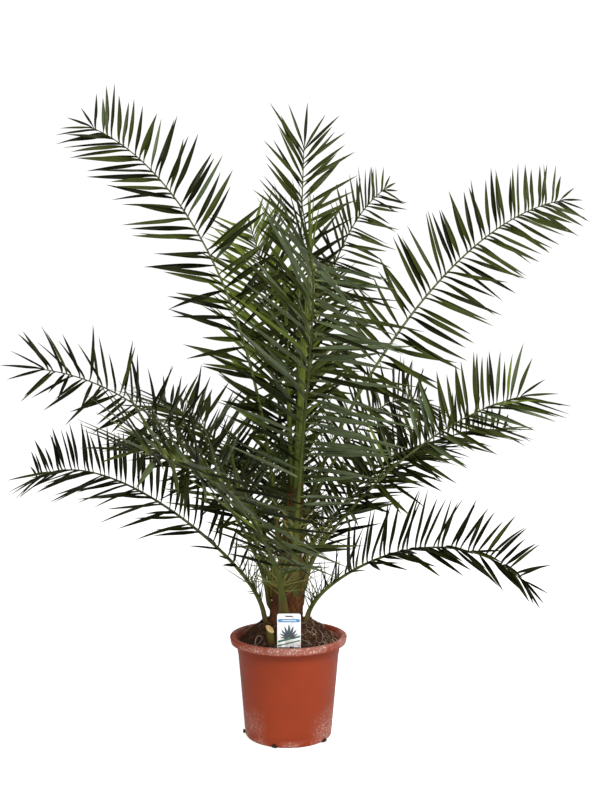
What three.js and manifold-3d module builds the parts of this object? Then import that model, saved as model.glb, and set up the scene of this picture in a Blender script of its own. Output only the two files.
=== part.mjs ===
// A young date palm in a round nursery pot.
//
// Millimetres, +Z up. The origin is the centre of the pot's flat underside, +X is the palm's right
// and -Y its front. The palm is a short fibrous trunk standing on the potting soil, with feather
// fronds that leave it one above the other and arch outwards, and folded young spears on its tip.
// Every frond is one rib (petiole and rachis) with its leaflets fused on. A frond that turns a long
// way is two solids, which meet at the bend.
import * as THREE from 'three';
import { mergeVertices } from 'three/addons/utils/BufferGeometryUtils.js';
import Module from 'manifold-3d';

const wasm = await Module();
wasm.setup();

// ---- Driving dimensions ----------------------------------------------------------------------

const CLEARANCE = 0.3; // between two neighbouring solids
const POT = {
  height: 255,
  footRadius: 110,
  footRounding: 10,
  wall: 3,
  wallTopRadius: 131, // where the wall meets the lip
  lipRadius: 150,
  lipRounding: 4,
  lipMouthRadius: 136,
  lipDrop: 18, // how far the lip's skirt hangs
  lipFlare: 3, // the skirt leans in by this much at its lower edge
  drainNotches: 5,
  drainRadius: 9,
  drainTurn: 36, // degrees from +X to the first notch
  sides: 48,
};
const SOIL = {
  top: 287, // the flat of the mound that the trunk stands on
  crownRadius: 62,
  shoulderRadius: 96,
  shoulderTop: 264,
  edgeTop: 233,
  sides: 28,
};
const TRUNK = {
  height: 350,
  footOffset: -6,
  lean: 0.065, // sideways travel for each millimetre of height
  sides: 14,
  // radius of the fibrous stem at shares of its height: the root flare first, the spear's seat last
  profile: [
    [0, 46],
    [0.04, 42],
    [0.17, 38],
    [0.31, 33],
    [0.46, 27],
    [0.62, 22],
    [0.8, 17],
    [1, 11],
  ],
};
const LABEL = { width: 58, height: 150, thickness: 1.2, corner: 4, top: 333, forward: -112, sideways: 2.5 };
const STUB = {
  turn: 249, // degrees from +X, seen from the trunk
  distance: 97,
  lean: 12,
  foot: 240,
  length: 54,
  halfWidth: 10,
  halfDepth: 6.5,
  slant: 8, // rise of the cut face from its middle to its inner edge
};

const RIB = {
  steps: 48, // steps of the curve that a rib follows
  rootLean: 4, // degrees from upright where a petiole leaves the trunk
  openShare: 0.09, // share of its length over which a petiole opens from the trunk
  baseHalfWidth: 15,
  baseHalfDepth: 11,
  baseShare: 0.1, // share of the length over which the clasping base narrows
  neckHalfWidth: 5.6,
  neckHalfDepth: 4.8,
  tipHalfWidth: 1.3,
  tapering: 1.1, // the higher, the longer the rib stays stout
  rolledAt: 0.45, // share of the length by which the blade has taken its whole roll
  stand: 6, // how far the middle of a petiole's root stands out from the trunk
  claspLength: 0.25, // share of a rib that its neighbours' bases are cut clear of
  segment: 78, // length of one facet of a rib
  leastFacet: 0.01, // share of the length within which a facet's end gives way to the rib's own
  splitTurn: 85, // a frond that turns further than this, in degrees, is two solids
  splitShare: 0.5,
};
const LEAFLET = {
  pairs: 18, // on a frond that is a metre long
  pairsPower: 0.3, // the lower, the nearer the short and long fronds are in their pairs
  widest: 0.34, // share of its length at which a leaflet is widest
  widthShare: 0.1,
  widthExtra: 4,
  thicknessShare: 0.012,
  leastThickness: 1.4,
  sunk: 0.3, // how deep its root is buried past the rib's middle, as a share of the half depth
  baseAngle: 76, // degrees from the rachis at its foot, middle and end
  middleAngle: 66,
  endAngle: 44,
  closing: 1.6, // the higher, the nearer to the end they close up
  sag: 0.05, // droop of the tip as a share of the length
  angleScatter: 6,
  liftScatter: 9,
  footShare: 0.4, // length at the foot of the rachis, as a share of the longest
  peak: 0.3, // share of the rachis at which leaflets are longest
  falling: 0.6, // the lower, the longer leaflets stay past that
  lengthScatter: 0.05,
  lastAt: 0.99, // share of the rib where the last pair sits, and the leaflet on its tip
  tipAt: 0.998,
  stagger: 0.2, // how far the two rows are offset, in leaflet spacings
  seed: 71,
  // what is tried for a leaflet in turn, as a share of its length and degrees that it is raised
  tries: [
    [1, 0],
    [1, 14],
    [1, -14],
    [0.75, 0],
    [0.75, 20],
    [0.5, 0],
    [0.5, -20],
  ],
};

// The fronds, from the oldest to the youngest. turn: degrees from +X at the trunk; height: of the
// petiole's root above the soil; length: along the rib; open and droop: degrees that it opens at
// once and arches by its end; sway: degrees that its heading changes; roll: degrees that the blade
// turns about the rib; bare: share of the rib without leaflets; leaflet: the longest one; spread:
// how far the leaflets stand off the rib, where 1 is LEAFLET's angles; lift: degrees that both rows
// are raised towards the frond's upper side; rise: how much those that point up turn to the sky;
// end: the last leaflets as a share of the longest.
const FRONDS = [
  { name: 'lower_left', turn: 190, height: 2, length: 890, open: 41, droop: 71, sway: -54,
    roll: -50, bare: 0.14, leaflet: 145, spread: 0.95, lift: 28, rise: 0.8, end: 0.55 },
  { name: 'lower_right', turn: 345, height: 2, length: 645, open: 50, droop: 79, sway: -8,
    roll: 50, bare: 0.14, leaflet: 150, spread: 0.8, lift: 40, rise: 0.9, end: 0.45 },
  { name: 'front_left', turn: 260, height: 30, length: 795, open: 43, droop: 35, sway: -30,
    roll: -35, bare: 0.13, leaflet: 240, spread: 1.18, lift: 15, rise: 0, end: 0.55 },
  { name: 'left', turn: 172, height: 45, length: 880, open: 23, droop: 57, sway: 40,
    roll: -62, bare: 0.22, leaflet: 150, spread: 1.15, lift: 12, rise: 0.1, end: 0.7 },
  { name: 'back_low', turn: 96, height: 22, length: 760, open: 34, droop: 74, sway: 14,
    roll: 0, bare: 0.16, leaflet: 190, spread: 0.95, lift: 20, rise: 0.1, end: 0.7 },
  { name: 'back_left_lowest', turn: 150, height: 64, length: 600, open: 26, droop: 56, sway: 10,
    roll: -24, bare: 0.16, leaflet: 175, spread: 0.95, lift: 20, rise: 0.1, end: 0.7 },
  { name: 'back_right_lowest', turn: 44, height: 40, length: 700, open: 34, droop: 62, sway: 6,
    roll: 16, bare: 0.16, leaflet: 180, spread: 0.95, lift: 20, rise: 0.1, end: 0.7 },
  { name: 'right', turn: 345, height: 90, length: 800, open: 36, droop: 41, sway: 40,
    roll: 50, bare: 0.22, leaflet: 160, spread: 1.22, lift: 26, rise: 0.5, end: 0.8 },
  { name: 'back_left', turn: 140, height: 84, length: 720, open: 22, droop: 66, sway: -4,
    roll: -16, bare: 0.16, leaflet: 195, spread: 0.95, lift: 20, rise: 0.1, end: 0.7 },
  { name: 'back_right', turn: 22, height: 130, length: 845, open: 48, droop: 49, sway: 15,
    roll: 30, bare: 0.16, leaflet: 130, spread: 0.95, lift: 20, rise: 0.1, end: 0.7 },
  { name: 'back_right_low', turn: 58, height: 150, length: 890, open: 40, droop: 59, sway: -5,
    roll: 55, bare: 0.18, leaflet: 150, spread: 1.2, lift: 20, rise: 0.1, end: 0.85 },
  { name: 'front', turn: 290, height: 120, length: 1010, open: 9, droop: 78, sway: -26,
    roll: -49, bare: 0.14, leaflet: 250, spread: 1.18, lift: 14, rise: 0, end: 0.6 },
  { name: 'back', turn: 92, height: 160, length: 1060, open: 14, droop: 66, sway: -10,
    roll: -6, bare: 0.16, leaflet: 235, spread: 0.75, lift: 20, rise: 0.1, end: 0.7 },
  { name: 'back_left_high', turn: 112, height: 205, length: 1000, open: 6, droop: 48, sway: -10,
    roll: -22, bare: 0.16, leaflet: 215, spread: 0.82, lift: 20, rise: 0.1, end: 0.7 },
  { name: 'upper_left', turn: 182, height: 200, length: 1315, open: 4, droop: 57, sway: -32,
    roll: -58, bare: 0.16, leaflet: 185, spread: 1.08, lift: 16, rise: 0.2, end: 0.6 },
  { name: 'upper_right', turn: 8, height: 220, length: 1325, open: 24, droop: 49, sway: 28,
    roll: 66, bare: 0.22, leaflet: 180, spread: 1.2, lift: 12, rise: 0.6, end: 0.6 },
  { name: 'back_right_high', turn: 50, height: 288, length: 1000, open: 1, droop: 53, sway: -3,
    roll: 75, bare: 0.18, leaflet: 150, spread: 1.25, lift: 22, rise: 0.3, end: 0.45 },
  { name: 'top', turn: 78, height: 300, length: 975, open: 1, droop: 10, sway: 4,
    roll: 22, bare: 0.12, leaflet: 170, spread: 0.9, lift: 20, rise: 0, end: 0.85 },
];

// The young leaves, folded into spears. turn and height: where they leave the trunk; lean and
// heading: degrees from upright, and the side that they lean to.
const SPEARS = [
  { name: 'spear_1', turn: 20, height: 338, lean: 3.4, heading: 350, length: 760 },
  { name: 'spear_2', turn: 200, height: 322, lean: 4.6, heading: 120, length: 560 },
  { name: 'spear_3', turn: 290, height: 312, lean: 5.2, heading: 300, length: 430 },
];
const SPEAR = {
  halfWidth: 7,
  halfDepth: 5,
  stand: 5, // how far its root stands from the middle of the trunk
  // size at shares of its length, as a share of the widest
  profile: [
    [0, 0.6],
    [0.3, 1],
    [0.7, 0.6],
    [1, 0.12],
  ],
};

const COLOURS = {
  pot: [0xa8492c, 0.6],
  soil: [0x33231a, 0.95],
  trunk: [0x6b3a1e, 0.95],
  plant_label: [0xf4f6f7, 0.45],
  leaf_stub: [0x54622a, 0.7],
  frond: [0x3c5a26, 0.5],
  spear: [0x8a9646, 0.55],
};

// ---- Small helpers ---------------------------------------------------------------------------

const radians = THREE.MathUtils.degToRad;
const mix = THREE.MathUtils.lerp;

// A repeatable stream of numbers between -1 and 1.
function scatterFrom(seed) {
  let state = seed;
  return () => {
    state = (state * 1664525 + 1013904223) % 4294967296;
    return (state / 4294967296) * 2 - 1;
  };
}

// The value at x of a line through [position, value] pairs.
function along(pairs, x) {
  const next = pairs.findIndex(([at]) => at >= x);
  if (next <= 0) return next === 0 ? pairs[0][1] : pairs.at(-1)[1];
  const [x0, y0] = pairs[next - 1];
  const [x1, y1] = pairs[next];
  return mix(y0, y1, (x - x0) / (x1 - x0));
}

function solidOf(geometry) {
  const bare = new THREE.BufferGeometry();
  bare.setAttribute('position', geometry.getAttribute('position'));
  bare.setIndex(geometry.index);
  const { attributes, index } = mergeVertices(bare, 1e-4);
  return new wasm.Manifold(
    new wasm.Mesh({
      numProp: 3,
      vertProperties: new Float32Array(attributes.position.array),
      triVerts: new Uint32Array(index.array),
    }),
  );
}

// A closed solid from points and triangles, whichever way round the triangles were listed.
function solidFrom(points, index) {
  const geometry = new THREE.BufferGeometry();
  const positions = points.flatMap((point) => point.toArray());
  geometry.setAttribute('position', new THREE.Float32BufferAttribute(positions, 3));
  const solid = solidOf(geometry.setIndex(index));
  return solid.volume() > 0 ? solid : solidOf(geometry.setIndex(index.toReversed()));
}

function geometryOf(solid) {
  const { vertProperties, triVerts } = solid.getMesh();
  const geometry = new THREE.BufferGeometry();
  geometry.setAttribute('position', new THREE.BufferAttribute(vertProperties, 3));
  geometry.setIndex(new THREE.BufferAttribute(triVerts, 1));
  geometry.computeVertexNormals();
  return geometry;
}

// A closed solid through rings of equally many points, with a flat cap on both ends.
function loft(rings) {
  const sides = rings[0].length;
  const index = [];
  for (let ring = 0; ring + 1 < rings.length; ring += 1) {
    for (let side = 0; side < sides; side += 1) {
      const a = ring * sides + side;
      const b = ring * sides + ((side + 1) % sides);
      index.push(a, b, b + sides, a, b + sides, a + sides);
    }
  }
  const last = (rings.length - 1) * sides;
  for (let side = 1; side + 1 < sides; side += 1) {
    index.push(0, side + 1, side, last, last + side, last + side + 1);
  }
  return solidFrom(rings.flat(), index);
}

// A point that lies a, b and c along a frame's across, up and forward directions.
function offset(frame, across, up, forward = 0) {
  return frame.at
    .clone()
    .addScaledVector(frame.across, across)
    .addScaledVector(frame.up, up)
    .addScaledVector(frame.forward, forward);
}

// ---- Pot and soil ----------------------------------------------------------------------------

function potWallRadius(z) {
  return mix(POT.footRadius, POT.wallTopRadius, z / (POT.height - POT.lipDrop));
}

function pot() {
  const { height, wall, footRadius, footRounding, lipRadius, lipRounding, lipDrop } = POT;
  const underLip = height - wall;
  const skirtFoot = height - lipDrop;
  const skirtFootRadius = lipRadius - POT.lipFlare;
  const outline = new THREE.Path();
  outline.moveTo(0, 0);
  outline.lineTo(footRadius - footRounding, 0);
  outline.quadraticCurveTo(footRadius, 0, potWallRadius(footRounding), footRounding);
  outline.lineTo(potWallRadius(underLip), underLip);
  outline.lineTo(lipRadius - wall, underLip);
  outline.lineTo(skirtFootRadius - wall, skirtFoot);
  outline.lineTo(skirtFootRadius, skirtFoot);
  outline.lineTo(lipRadius, height - lipRounding);
  outline.quadraticCurveTo(lipRadius, height, lipRadius - lipRounding, height);
  outline.lineTo(POT.lipMouthRadius, height);
  outline.lineTo(potWallRadius(skirtFoot) - wall, skirtFoot);
  outline.lineTo(potWallRadius(wall) - wall, wall);
  outline.lineTo(0, wall);
  let solid = solidOf(new THREE.LatheGeometry(outline.getPoints(2), POT.sides).rotateX(Math.PI / 2));
  for (let notch = 0; notch < POT.drainNotches; notch += 1) {
    const turn = radians(POT.drainTurn + (360 / POT.drainNotches) * notch);
    const bore = new THREE.CylinderGeometry(POT.drainRadius, POT.drainRadius, 2 * POT.drainRadius, 12);
    bore.rotateZ(Math.PI / 2).translate(footRadius, 0, 0).rotateZ(turn);
    solid = solid.subtract(solidOf(bore));
  }
  return solid;
}

// Height of the soil's surface at a distance from the pot's axis.
function soilHeight(radius) {
  return along(
    [
      [SOIL.crownRadius, SOIL.top],
      [SOIL.shoulderRadius, SOIL.shoulderTop],
      [POT.wallTopRadius, SOIL.edgeTop],
    ],
    radius,
  );
}

function soil() {
  const floor = POT.wall + CLEARANCE;
  const innerRadius = (z) => potWallRadius(z) - POT.wall - 2 * CLEARANCE;
  const edge = innerRadius(SOIL.edgeTop - POT.wall);
  const profile = [
    [0, floor],
    [innerRadius(floor), floor],
    [edge, soilHeight(edge)],
    [SOIL.shoulderRadius, SOIL.shoulderTop],
    [SOIL.crownRadius, SOIL.top],
    [0, SOIL.top],
  ].map(([r, z]) => new THREE.Vector2(r, z));
  return solidOf(new THREE.LatheGeometry(profile, SOIL.sides).rotateX(Math.PI / 2));
}

// ---- Trunk, label and old leaf base ----------------------------------------------------------

function trunkCentre(height) {
  return new THREE.Vector3(TRUNK.footOffset + TRUNK.lean * height, 0, SOIL.top + height);
}

function trunkRadius(height) {
  return along(TRUNK.profile, height / TRUNK.height);
}

// The trunk, or with growth the same shape grown by that much, to cut its neighbours clear.
function trunk(growth = 0) {
  const foot = growth > 0 ? -growth : CLEARANCE;
  const side = TRUNK.profile.map(([share, radius]) => {
    return [radius + 2 * growth, share === 0 ? foot : share * TRUNK.height + growth];
  });
  const outline = [[0, foot], ...side, [0, TRUNK.height + growth]].map(([r, z]) => new THREE.Vector2(r, z));
  const upright = new THREE.LatheGeometry(outline, TRUNK.sides).rotateX(Math.PI / 2);
  const leaning = new THREE.Matrix4().makeShear(0, 0, 0, 0, TRUNK.lean, 0);
  return solidOf(upright.applyMatrix4(leaning).translate(TRUNK.footOffset, 0, SOIL.top));
}

// The label, or with growth the pocket that it stands in.
function label(growth = 0) {
  const { height, corner, thickness } = LABEL;
  const half = LABEL.width / 2 + growth;
  const card = new THREE.Shape();
  card.moveTo(-half, -growth);
  card.lineTo(half, -growth);
  card.lineTo(half, height - corner);
  card.quadraticCurveTo(half, height, half - corner, height);
  card.lineTo(corner - half, height);
  card.quadraticCurveTo(-half, height, -half, height - corner);
  const depth = thickness + 2 * growth;
  const plate = new THREE.ExtrudeGeometry(card, { depth, bevelEnabled: false, curveSegments: 3 });
  plate.translate(0, 0, -depth / 2).rotateX(Math.PI / 2);
  return solidOf(plate.translate(LABEL.sideways, LABEL.forward, LABEL.top - height));
}

// The stump of a leaf that was pruned off, cut on a slant, or with growth its pocket in the soil.
function stub(growth = 0) {
  const { turn, distance, lean, length, foot, slant } = STUB;
  const out = new THREE.Vector3(Math.cos(radians(turn)), Math.sin(radians(turn)), 0);
  const frame = {
    at: out.clone().multiplyScalar(distance).add(new THREE.Vector3(TRUNK.footOffset, 0, foot)),
    forward: out.clone().multiplyScalar(Math.sin(radians(lean))).setZ(Math.cos(radians(lean))),
    across: new THREE.Vector3(-out.y, out.x, 0),
  };
  frame.up = frame.forward.clone().cross(frame.across).normalize();
  const halfWidth = STUB.halfWidth + 2 * growth;
  const halfDepth = STUB.halfDepth + 2 * growth;
  const ring = (s, taper, cut) => [
    offset(frame, halfWidth * taper, 0, s),
    offset(frame, 0, halfDepth * taper, s + cut),
    offset(frame, -halfWidth * taper, 0, s),
    offset(frame, 0, -halfDepth * taper, s - cut),
  ];
  return loft([ring(-growth, 1.1, 0), ring(length * 0.6, 1, 0), ring(length, 0.85, slant)]);
}

// ---- Ribs ------------------------------------------------------------------------------------

// The way that a rib points at a share u of its length. Its lean from upright is rootLean, plus what
// it opens near the trunk, plus a droop that grows with the square of the distance; its heading
// turns evenly. out is its level heading.
function ribDirection(frond, u) {
  const opened = frond.open * (1 - Math.exp(-u / RIB.openShare));
  const lean = radians(RIB.rootLean + opened + frond.droop * u * u);
  const heading = radians(frond.turn + frond.sway * u);
  const out = new THREE.Vector3(Math.cos(heading), Math.sin(heading), 0);
  const forward = out.clone().multiplyScalar(Math.sin(lean)).setZ(Math.cos(lean));
  const level = out.clone().multiplyScalar(-Math.cos(lean)).setZ(Math.sin(lean));
  return { forward, level };
}

// The rib's curve as frames at equal steps. up is the side of the blade that faces the sky on a
// level frond, and rolls about the rib.
function ribFrames(frond) {
  const frames = [];
  const stand = trunkRadius(frond.height) + RIB.stand;
  const root = radians(frond.turn);
  const at = trunkCentre(frond.height);
  at.add(new THREE.Vector3(Math.cos(root), Math.sin(root), 0).multiplyScalar(stand));
  for (let i = 0; i <= RIB.steps; i += 1) {
    const u = i / RIB.steps;
    const { forward, level } = ribDirection(frond, u);
    const roll = radians(frond.roll) * THREE.MathUtils.smoothstep(u, 0, RIB.rolledAt);
    const up = level.applyAxisAngle(forward, roll);
    frames.push({ u, at: at.clone(), forward, up, across: forward.clone().cross(up) });
    at.addScaledVector(ribDirection(frond, u + 0.5 / RIB.steps).forward, frond.length / RIB.steps);
  }
  return frames;
}

function frameAt(frames, u) {
  const place = Math.min(u * RIB.steps, RIB.steps - 1e-6);
  const before = frames[Math.floor(place)];
  const after = frames[Math.floor(place) + 1];
  const share = place - Math.floor(place);
  const between = (key) => before[key].clone().lerp(after[key], share);
  return {
    u,
    at: between('at'),
    forward: between('forward').normalize(),
    up: between('up').normalize(),
    across: between('across').normalize(),
  };
}

// The frame at u, set on the straight facet of the rib that runs past it.
function facetFrame(frond, frames, u) {
  const facets = facetCount(frond);
  const first = Math.min(Math.floor(u * facets), facets - 1);
  const [start, end] = [first, first + 1].map((station) => frameAt(frames, station / facets).at);
  return { ...frameAt(frames, u), at: start.lerp(end, u * facets - first) };
}

// An even number, so that a rib may be parted half-way between two facets.
function facetCount(frond) {
  return 2 * Math.round(frond.length / RIB.segment / 2);
}

// Half the rib's width and depth at a share u of its length: a clasping base, a neck, then a taper.
function ribHalfSizes(u) {
  const clasp = Math.exp(-u / RIB.baseShare);
  const taper = mix(1, RIB.tipHalfWidth / RIB.neckHalfWidth, Math.pow(u, RIB.tapering));
  return [
    RIB.neckHalfWidth * taper + (RIB.baseHalfWidth - RIB.neckHalfWidth) * clasp,
    RIB.neckHalfDepth * taper + (RIB.baseHalfDepth - RIB.neckHalfDepth) * clasp,
  ];
}

function ribBetween({ frond, frames, from, to }, growth = 0) {
  const facets = facetCount(frond);
  const inner = Array.from({ length: facets }, (_, station) => station / facets);
  const isApart = (u) => u > from + RIB.leastFacet && u < to - RIB.leastFacet;
  const stations = [from, ...inner.filter(isApart), to];
  const rings = [];
  for (const u of stations) {
    const frame = frameAt(frames, u);
    const [halfWidth, halfDepth] = ribHalfSizes(frame.u).map((half) => half + growth);
    rings.push([
      offset(frame, halfWidth, 0),
      offset(frame, 0, halfDepth),
      offset(frame, -halfWidth, 0),
      offset(frame, 0, -halfDepth),
    ]);
  }
  return loft(rings);
}

// ---- Leaflets --------------------------------------------------------------------------------

// Length of a leaflet at a share t of the leafy rachis, as a share of the longest: short at the
// foot, a rounded peak, and the frond's own share at the end.
function leafletShare(t, end) {
  const { peak, footShare, falling } = LEAFLET;
  if (t < peak) return mix(footShare, 1, Math.sin((t / peak) * (Math.PI / 2)));
  return mix(end, 1, Math.pow(Math.cos(((t - peak) / (1 - peak)) * (Math.PI / 2)), falling));
}

function leafletAngle(t) {
  const { baseAngle, middleAngle, endAngle, closing } = LEAFLET;
  if (t < 0.5) return mix(baseAngle, middleAngle, t * 2);
  return mix(middleAngle, endAngle, Math.pow(t * 2 - 1, closing));
}

// One leaflet as a thin eight-sided lance: a buried root, four points at its widest, and a tip.
function leafletSolid({ frame, side, length, angle, lift, rise, width }) {
  const thickness = Math.max(length * LEAFLET.thicknessShare, LEAFLET.leastThickness);
  const level = side * Math.cos(lift);
  const outward = frame.across.clone().multiplyScalar(level).addScaledVector(frame.up, Math.sin(lift));
  const direction = frame.forward.clone().multiplyScalar(Math.cos(angle));
  direction.addScaledVector(outward, Math.sin(angle));
  direction.z += rise * Math.max(outward.z, 0);
  direction.normalize();
  const face = frame.up.clone().addScaledVector(direction, -frame.up.dot(direction)).normalize();
  const edge = direction.clone().cross(face);
  const middle = frame.at.clone().addScaledVector(direction, length * LEAFLET.widest);
  const tip = frame.at.clone().addScaledVector(direction, length);
  tip.z -= length * LEAFLET.sag * Math.hypot(direction.x, direction.y);
  const root = frame.at.clone().addScaledVector(direction, -ribHalfSizes(frame.u)[1] * LEAFLET.sunk);
  const ring = [
    middle.clone().addScaledVector(edge, width / 2),
    middle.clone().addScaledVector(face, thickness / 2),
    middle.clone().addScaledVector(edge, -width / 2),
    middle.clone().addScaledVector(face, -thickness / 2),
  ];
  const index = [0, 1, 2, 3].flatMap((corner) => {
    const here = 1 + corner;
    const next = 1 + ((corner + 1) % 4);
    return [0, next, here, 5, here, next];
  });
  return solidFrom([root, ...ring, tip], index);
}

// Where the leaflets of a frond sit: one on the very tip, and pairs along the leafy part.
function leafletPlaces(frond, frames, scatter) {
  const pairs = Math.round(LEAFLET.pairs * Math.pow(frond.length / 1000, LEAFLET.pairsPower));
  const tipFrame = facetFrame(frond, frames, LEAFLET.tipAt);
  const tip = { side: 1, length: frond.leaflet * frond.end, angle: 0, lift: 0, rise: 0 };
  const places = [{ frame: tipFrame, ...tip }];
  for (let row = 0; row < 2 * pairs; row += 1) {
    const side = row % 2 === 0 ? -1 : 1;
    const t = (Math.floor(row / 2) + 0.5 + side * LEAFLET.stagger) / pairs;
    places.push({
      frame: facetFrame(frond, frames, mix(frond.bare, LEAFLET.lastAt, t)),
      side,
      length: frond.leaflet * leafletShare(t, frond.end) * (1 + LEAFLET.lengthScatter * scatter()),
      angle: radians(leafletAngle(t) * frond.spread + LEAFLET.angleScatter * scatter()),
      lift: radians(frond.lift + LEAFLET.liftScatter * scatter()),
      rise: frond.rise,
    });
  }
  return places;
}

// ---- Growing the crown without overlaps ------------------------------------------------------

const placed = []; // { owner, solid, box } for everything that stands already

function place(owner, solid) {
  placed.push({ owner, solid, box: solid.boundingBox() });
}

function isClear(owner, solid) {
  const { min, max } = solid.boundingBox();
  return placed.every((other) => {
    if (other.owner === owner) return true;
    const apart = [0, 1, 2].some(
      (axis) => other.box.min[axis] > max[axis] + CLEARANCE || other.box.max[axis] < min[axis] - CLEARANCE,
    );
    return apart || other.solid.minGap(solid, 2 * CLEARANCE) >= CLEARANCE;
  });
}

// The nodes of one frond: the whole rib, or its inner and outer part where it turns a long way.
function frondSections(frond) {
  const frames = ribFrames(frond);
  const halfGap = CLEARANCE / 2 / frond.length;
  if (frond.open + frond.droop <= RIB.splitTurn) {
    return [{ name: `frond_${frond.name}`, frond, frames, from: 0, to: 1 }];
  }
  return [
    { name: `frond_${frond.name}`, frond, frames, from: 0, to: RIB.splitShare - halfGap },
    { name: `frond_${frond.name}_end`, frond, frames, from: RIB.splitShare + halfGap, to: 1 },
  ];
}

// A leaflet as grown, or turned up or down a little or shorter where a neighbour is in its way.
function clearLeaflet(owner, leaf) {
  for (const [share, turn] of LEAFLET.tries) {
    const length = leaf.length * share;
    const width = (leaf.length * LEAFLET.widthShare + LEAFLET.widthExtra) * Math.sqrt(share);
    const solid = leafletSolid({ ...leaf, length, width, lift: leaf.lift + radians(turn) });
    if (isClear(owner, solid)) return solid;
  }
  return null;
}

function growLeaflets(sections, seed) {
  const { frond, frames } = sections[0];
  for (const leaf of leafletPlaces(frond, frames, scatterFrom(seed))) {
    const section = sections.find(({ to }) => leaf.frame.u <= to);
    const solid = clearLeaflet(section.name, leaf);
    if (solid) {
      place(section.name, solid);
      section.leaflets.push(solid);
    }
  }
}

function largestPiece(solid) {
  return solid.decompose().reduce((a, b) => (b.volume() > a.volume() ? b : a));
}

function spear({ turn, height, lean, heading, length }) {
  const at = trunkCentre(height);
  at.x += SPEAR.stand * Math.cos(radians(turn));
  at.y += SPEAR.stand * Math.sin(radians(turn));
  const forward = new THREE.Vector3(0, 0, 1).applyAxisAngle(
    new THREE.Vector3(-Math.sin(radians(heading)), Math.cos(radians(heading)), 0),
    radians(lean),
  );
  const across = new THREE.Vector3(1, 0, 0).addScaledVector(forward, -forward.x).normalize();
  const frame = { at, forward, across, up: forward.clone().cross(across).negate() };
  const rings = SPEAR.profile.map(([share, size]) => [
    offset(frame, SPEAR.halfWidth * size, 0, share * length),
    offset(frame, 0, -SPEAR.halfDepth * size, share * length),
    offset(frame, -SPEAR.halfWidth * size, 0, share * length),
    offset(frame, 0, SPEAR.halfDepth * size, share * length),
  ]);
  return loft(rings);
}

// ---- Assembly --------------------------------------------------------------------------------

const palm = new THREE.Group();

function add(name, solid, [colour, roughness]) {
  const material = new THREE.MeshStandardMaterial({ color: colour, roughness, metalness: 0 });
  const mesh = new THREE.Mesh(geometryOf(solid), material);
  mesh.name = name;
  palm.add(mesh);
}

const trunkHull = trunk(CLEARANCE);
place('pot', pot());
place('soil', soil().subtract(label(CLEARANCE)).subtract(stub(CLEARANCE)));
place('plant_label', label());
place('leaf_stub', stub());
place('trunk', trunk());
for (const item of SPEARS) {
  place(item.name, spear(item).subtract(trunkHull));
}
for (const { owner, solid } of placed) {
  add(owner, solid, COLOURS[owner] ?? COLOURS.spear);
}

// All ribs stand before the first leaflet grows, each cut clear of the older ones' bases.
const sections = FRONDS.map(frondSections);
let hulls = trunkHull;
for (const section of sections.flat()) {
  section.leaflets = [];
  section.rib = largestPiece(ribBetween(section).subtract(hulls));
  if (section.from === 0) hulls = hulls.add(ribBetween({ ...section, to: RIB.claspLength }, 3 * CLEARANCE));
  place(section.name, section.rib);
}
sections.forEach((parts, order) => growLeaflets(parts, LEAFLET.seed + order));
for (const { name, rib, leaflets } of sections.flat()) {
  add(name, wasm.Manifold.union([rib, ...leaflets]), COLOURS.frond);
}

export default palm;
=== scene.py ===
"""A young date palm in a round nursery pot, with a pale studio round it.

The file is laid out as a Blender add-on. Tables are in millimetres and degrees, as on a drawing;
meshes are in metres, with +Z up, -Y towards the front and +X to the right as seen from there.
"""

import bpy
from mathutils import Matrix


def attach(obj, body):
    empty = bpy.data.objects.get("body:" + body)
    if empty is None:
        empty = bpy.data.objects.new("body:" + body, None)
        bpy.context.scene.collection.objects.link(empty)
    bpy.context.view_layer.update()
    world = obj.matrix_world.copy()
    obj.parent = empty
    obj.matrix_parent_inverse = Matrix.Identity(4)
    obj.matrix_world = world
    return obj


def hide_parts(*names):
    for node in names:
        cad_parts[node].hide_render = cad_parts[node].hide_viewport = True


bl_info = {
    "name": "Potted Date Palm",
    "version": (1, 0, 0),
    "blender": (4, 5, 0),
    "location": "3D Viewport > Sidebar > Palm",
    "description": "Builds a young date palm in a nursery pot from named sizes and colours",
    "category": "Add Mesh",
}

from collections import namedtuple

import bpy
import numpy as np

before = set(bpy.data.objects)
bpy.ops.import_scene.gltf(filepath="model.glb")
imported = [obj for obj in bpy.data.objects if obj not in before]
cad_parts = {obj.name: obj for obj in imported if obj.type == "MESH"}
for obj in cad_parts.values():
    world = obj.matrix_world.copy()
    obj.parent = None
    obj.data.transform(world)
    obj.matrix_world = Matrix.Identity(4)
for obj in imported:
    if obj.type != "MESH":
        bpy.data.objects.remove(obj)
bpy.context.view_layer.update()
FROND_NODES = sorted(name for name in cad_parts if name.startswith("frond_"))
SPEAR_NODES = sorted(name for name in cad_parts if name.startswith("spear_"))

MM = 0.001
TURN = 2 * np.pi
UP = np.array([0.0, 0.0, 1.0])

# ---- Sizes that the plant's solids share, in millimetres ----------------------------------------

POT_FOOT_RADIUS = 110
POT_WALL_TOP = (131, 237)  # radius and height where the wall meets the lip
POT_LIP_RADIUS = 150
POT_MOUTH_RADIUS = 136
POT_WALL = 3
DRAIN_RADIUS = 9
NOTCH_TURNS = 36 + 72 * np.arange(5)

# radius and height of the compost's mound, from its middle to the wall
SOIL_PROFILE = ((0, 287), (62, 287), (96, 264), (131, 233))
BARK_SHARE = 0.45  # of the crumbs

TRUNK_FOOT = -6  # sideways
TRUNK_BASE = 287
TRUNK_LEAN = 0.065  # travel to +X for each millimetre of height
TRUNK_HEIGHT = 350
LEAF_BASES = 46
LEAF_BASE_TURN = 137.5  # degrees from each old leaf base to the next
# share of the height, radius
TRUNK_PROFILE = (
    (0, 46), (0.04, 42), (0.17, 38), (0.31, 33), (0.46, 27), (0.62, 22), (0.8, 17), (1, 11)
)

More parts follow.
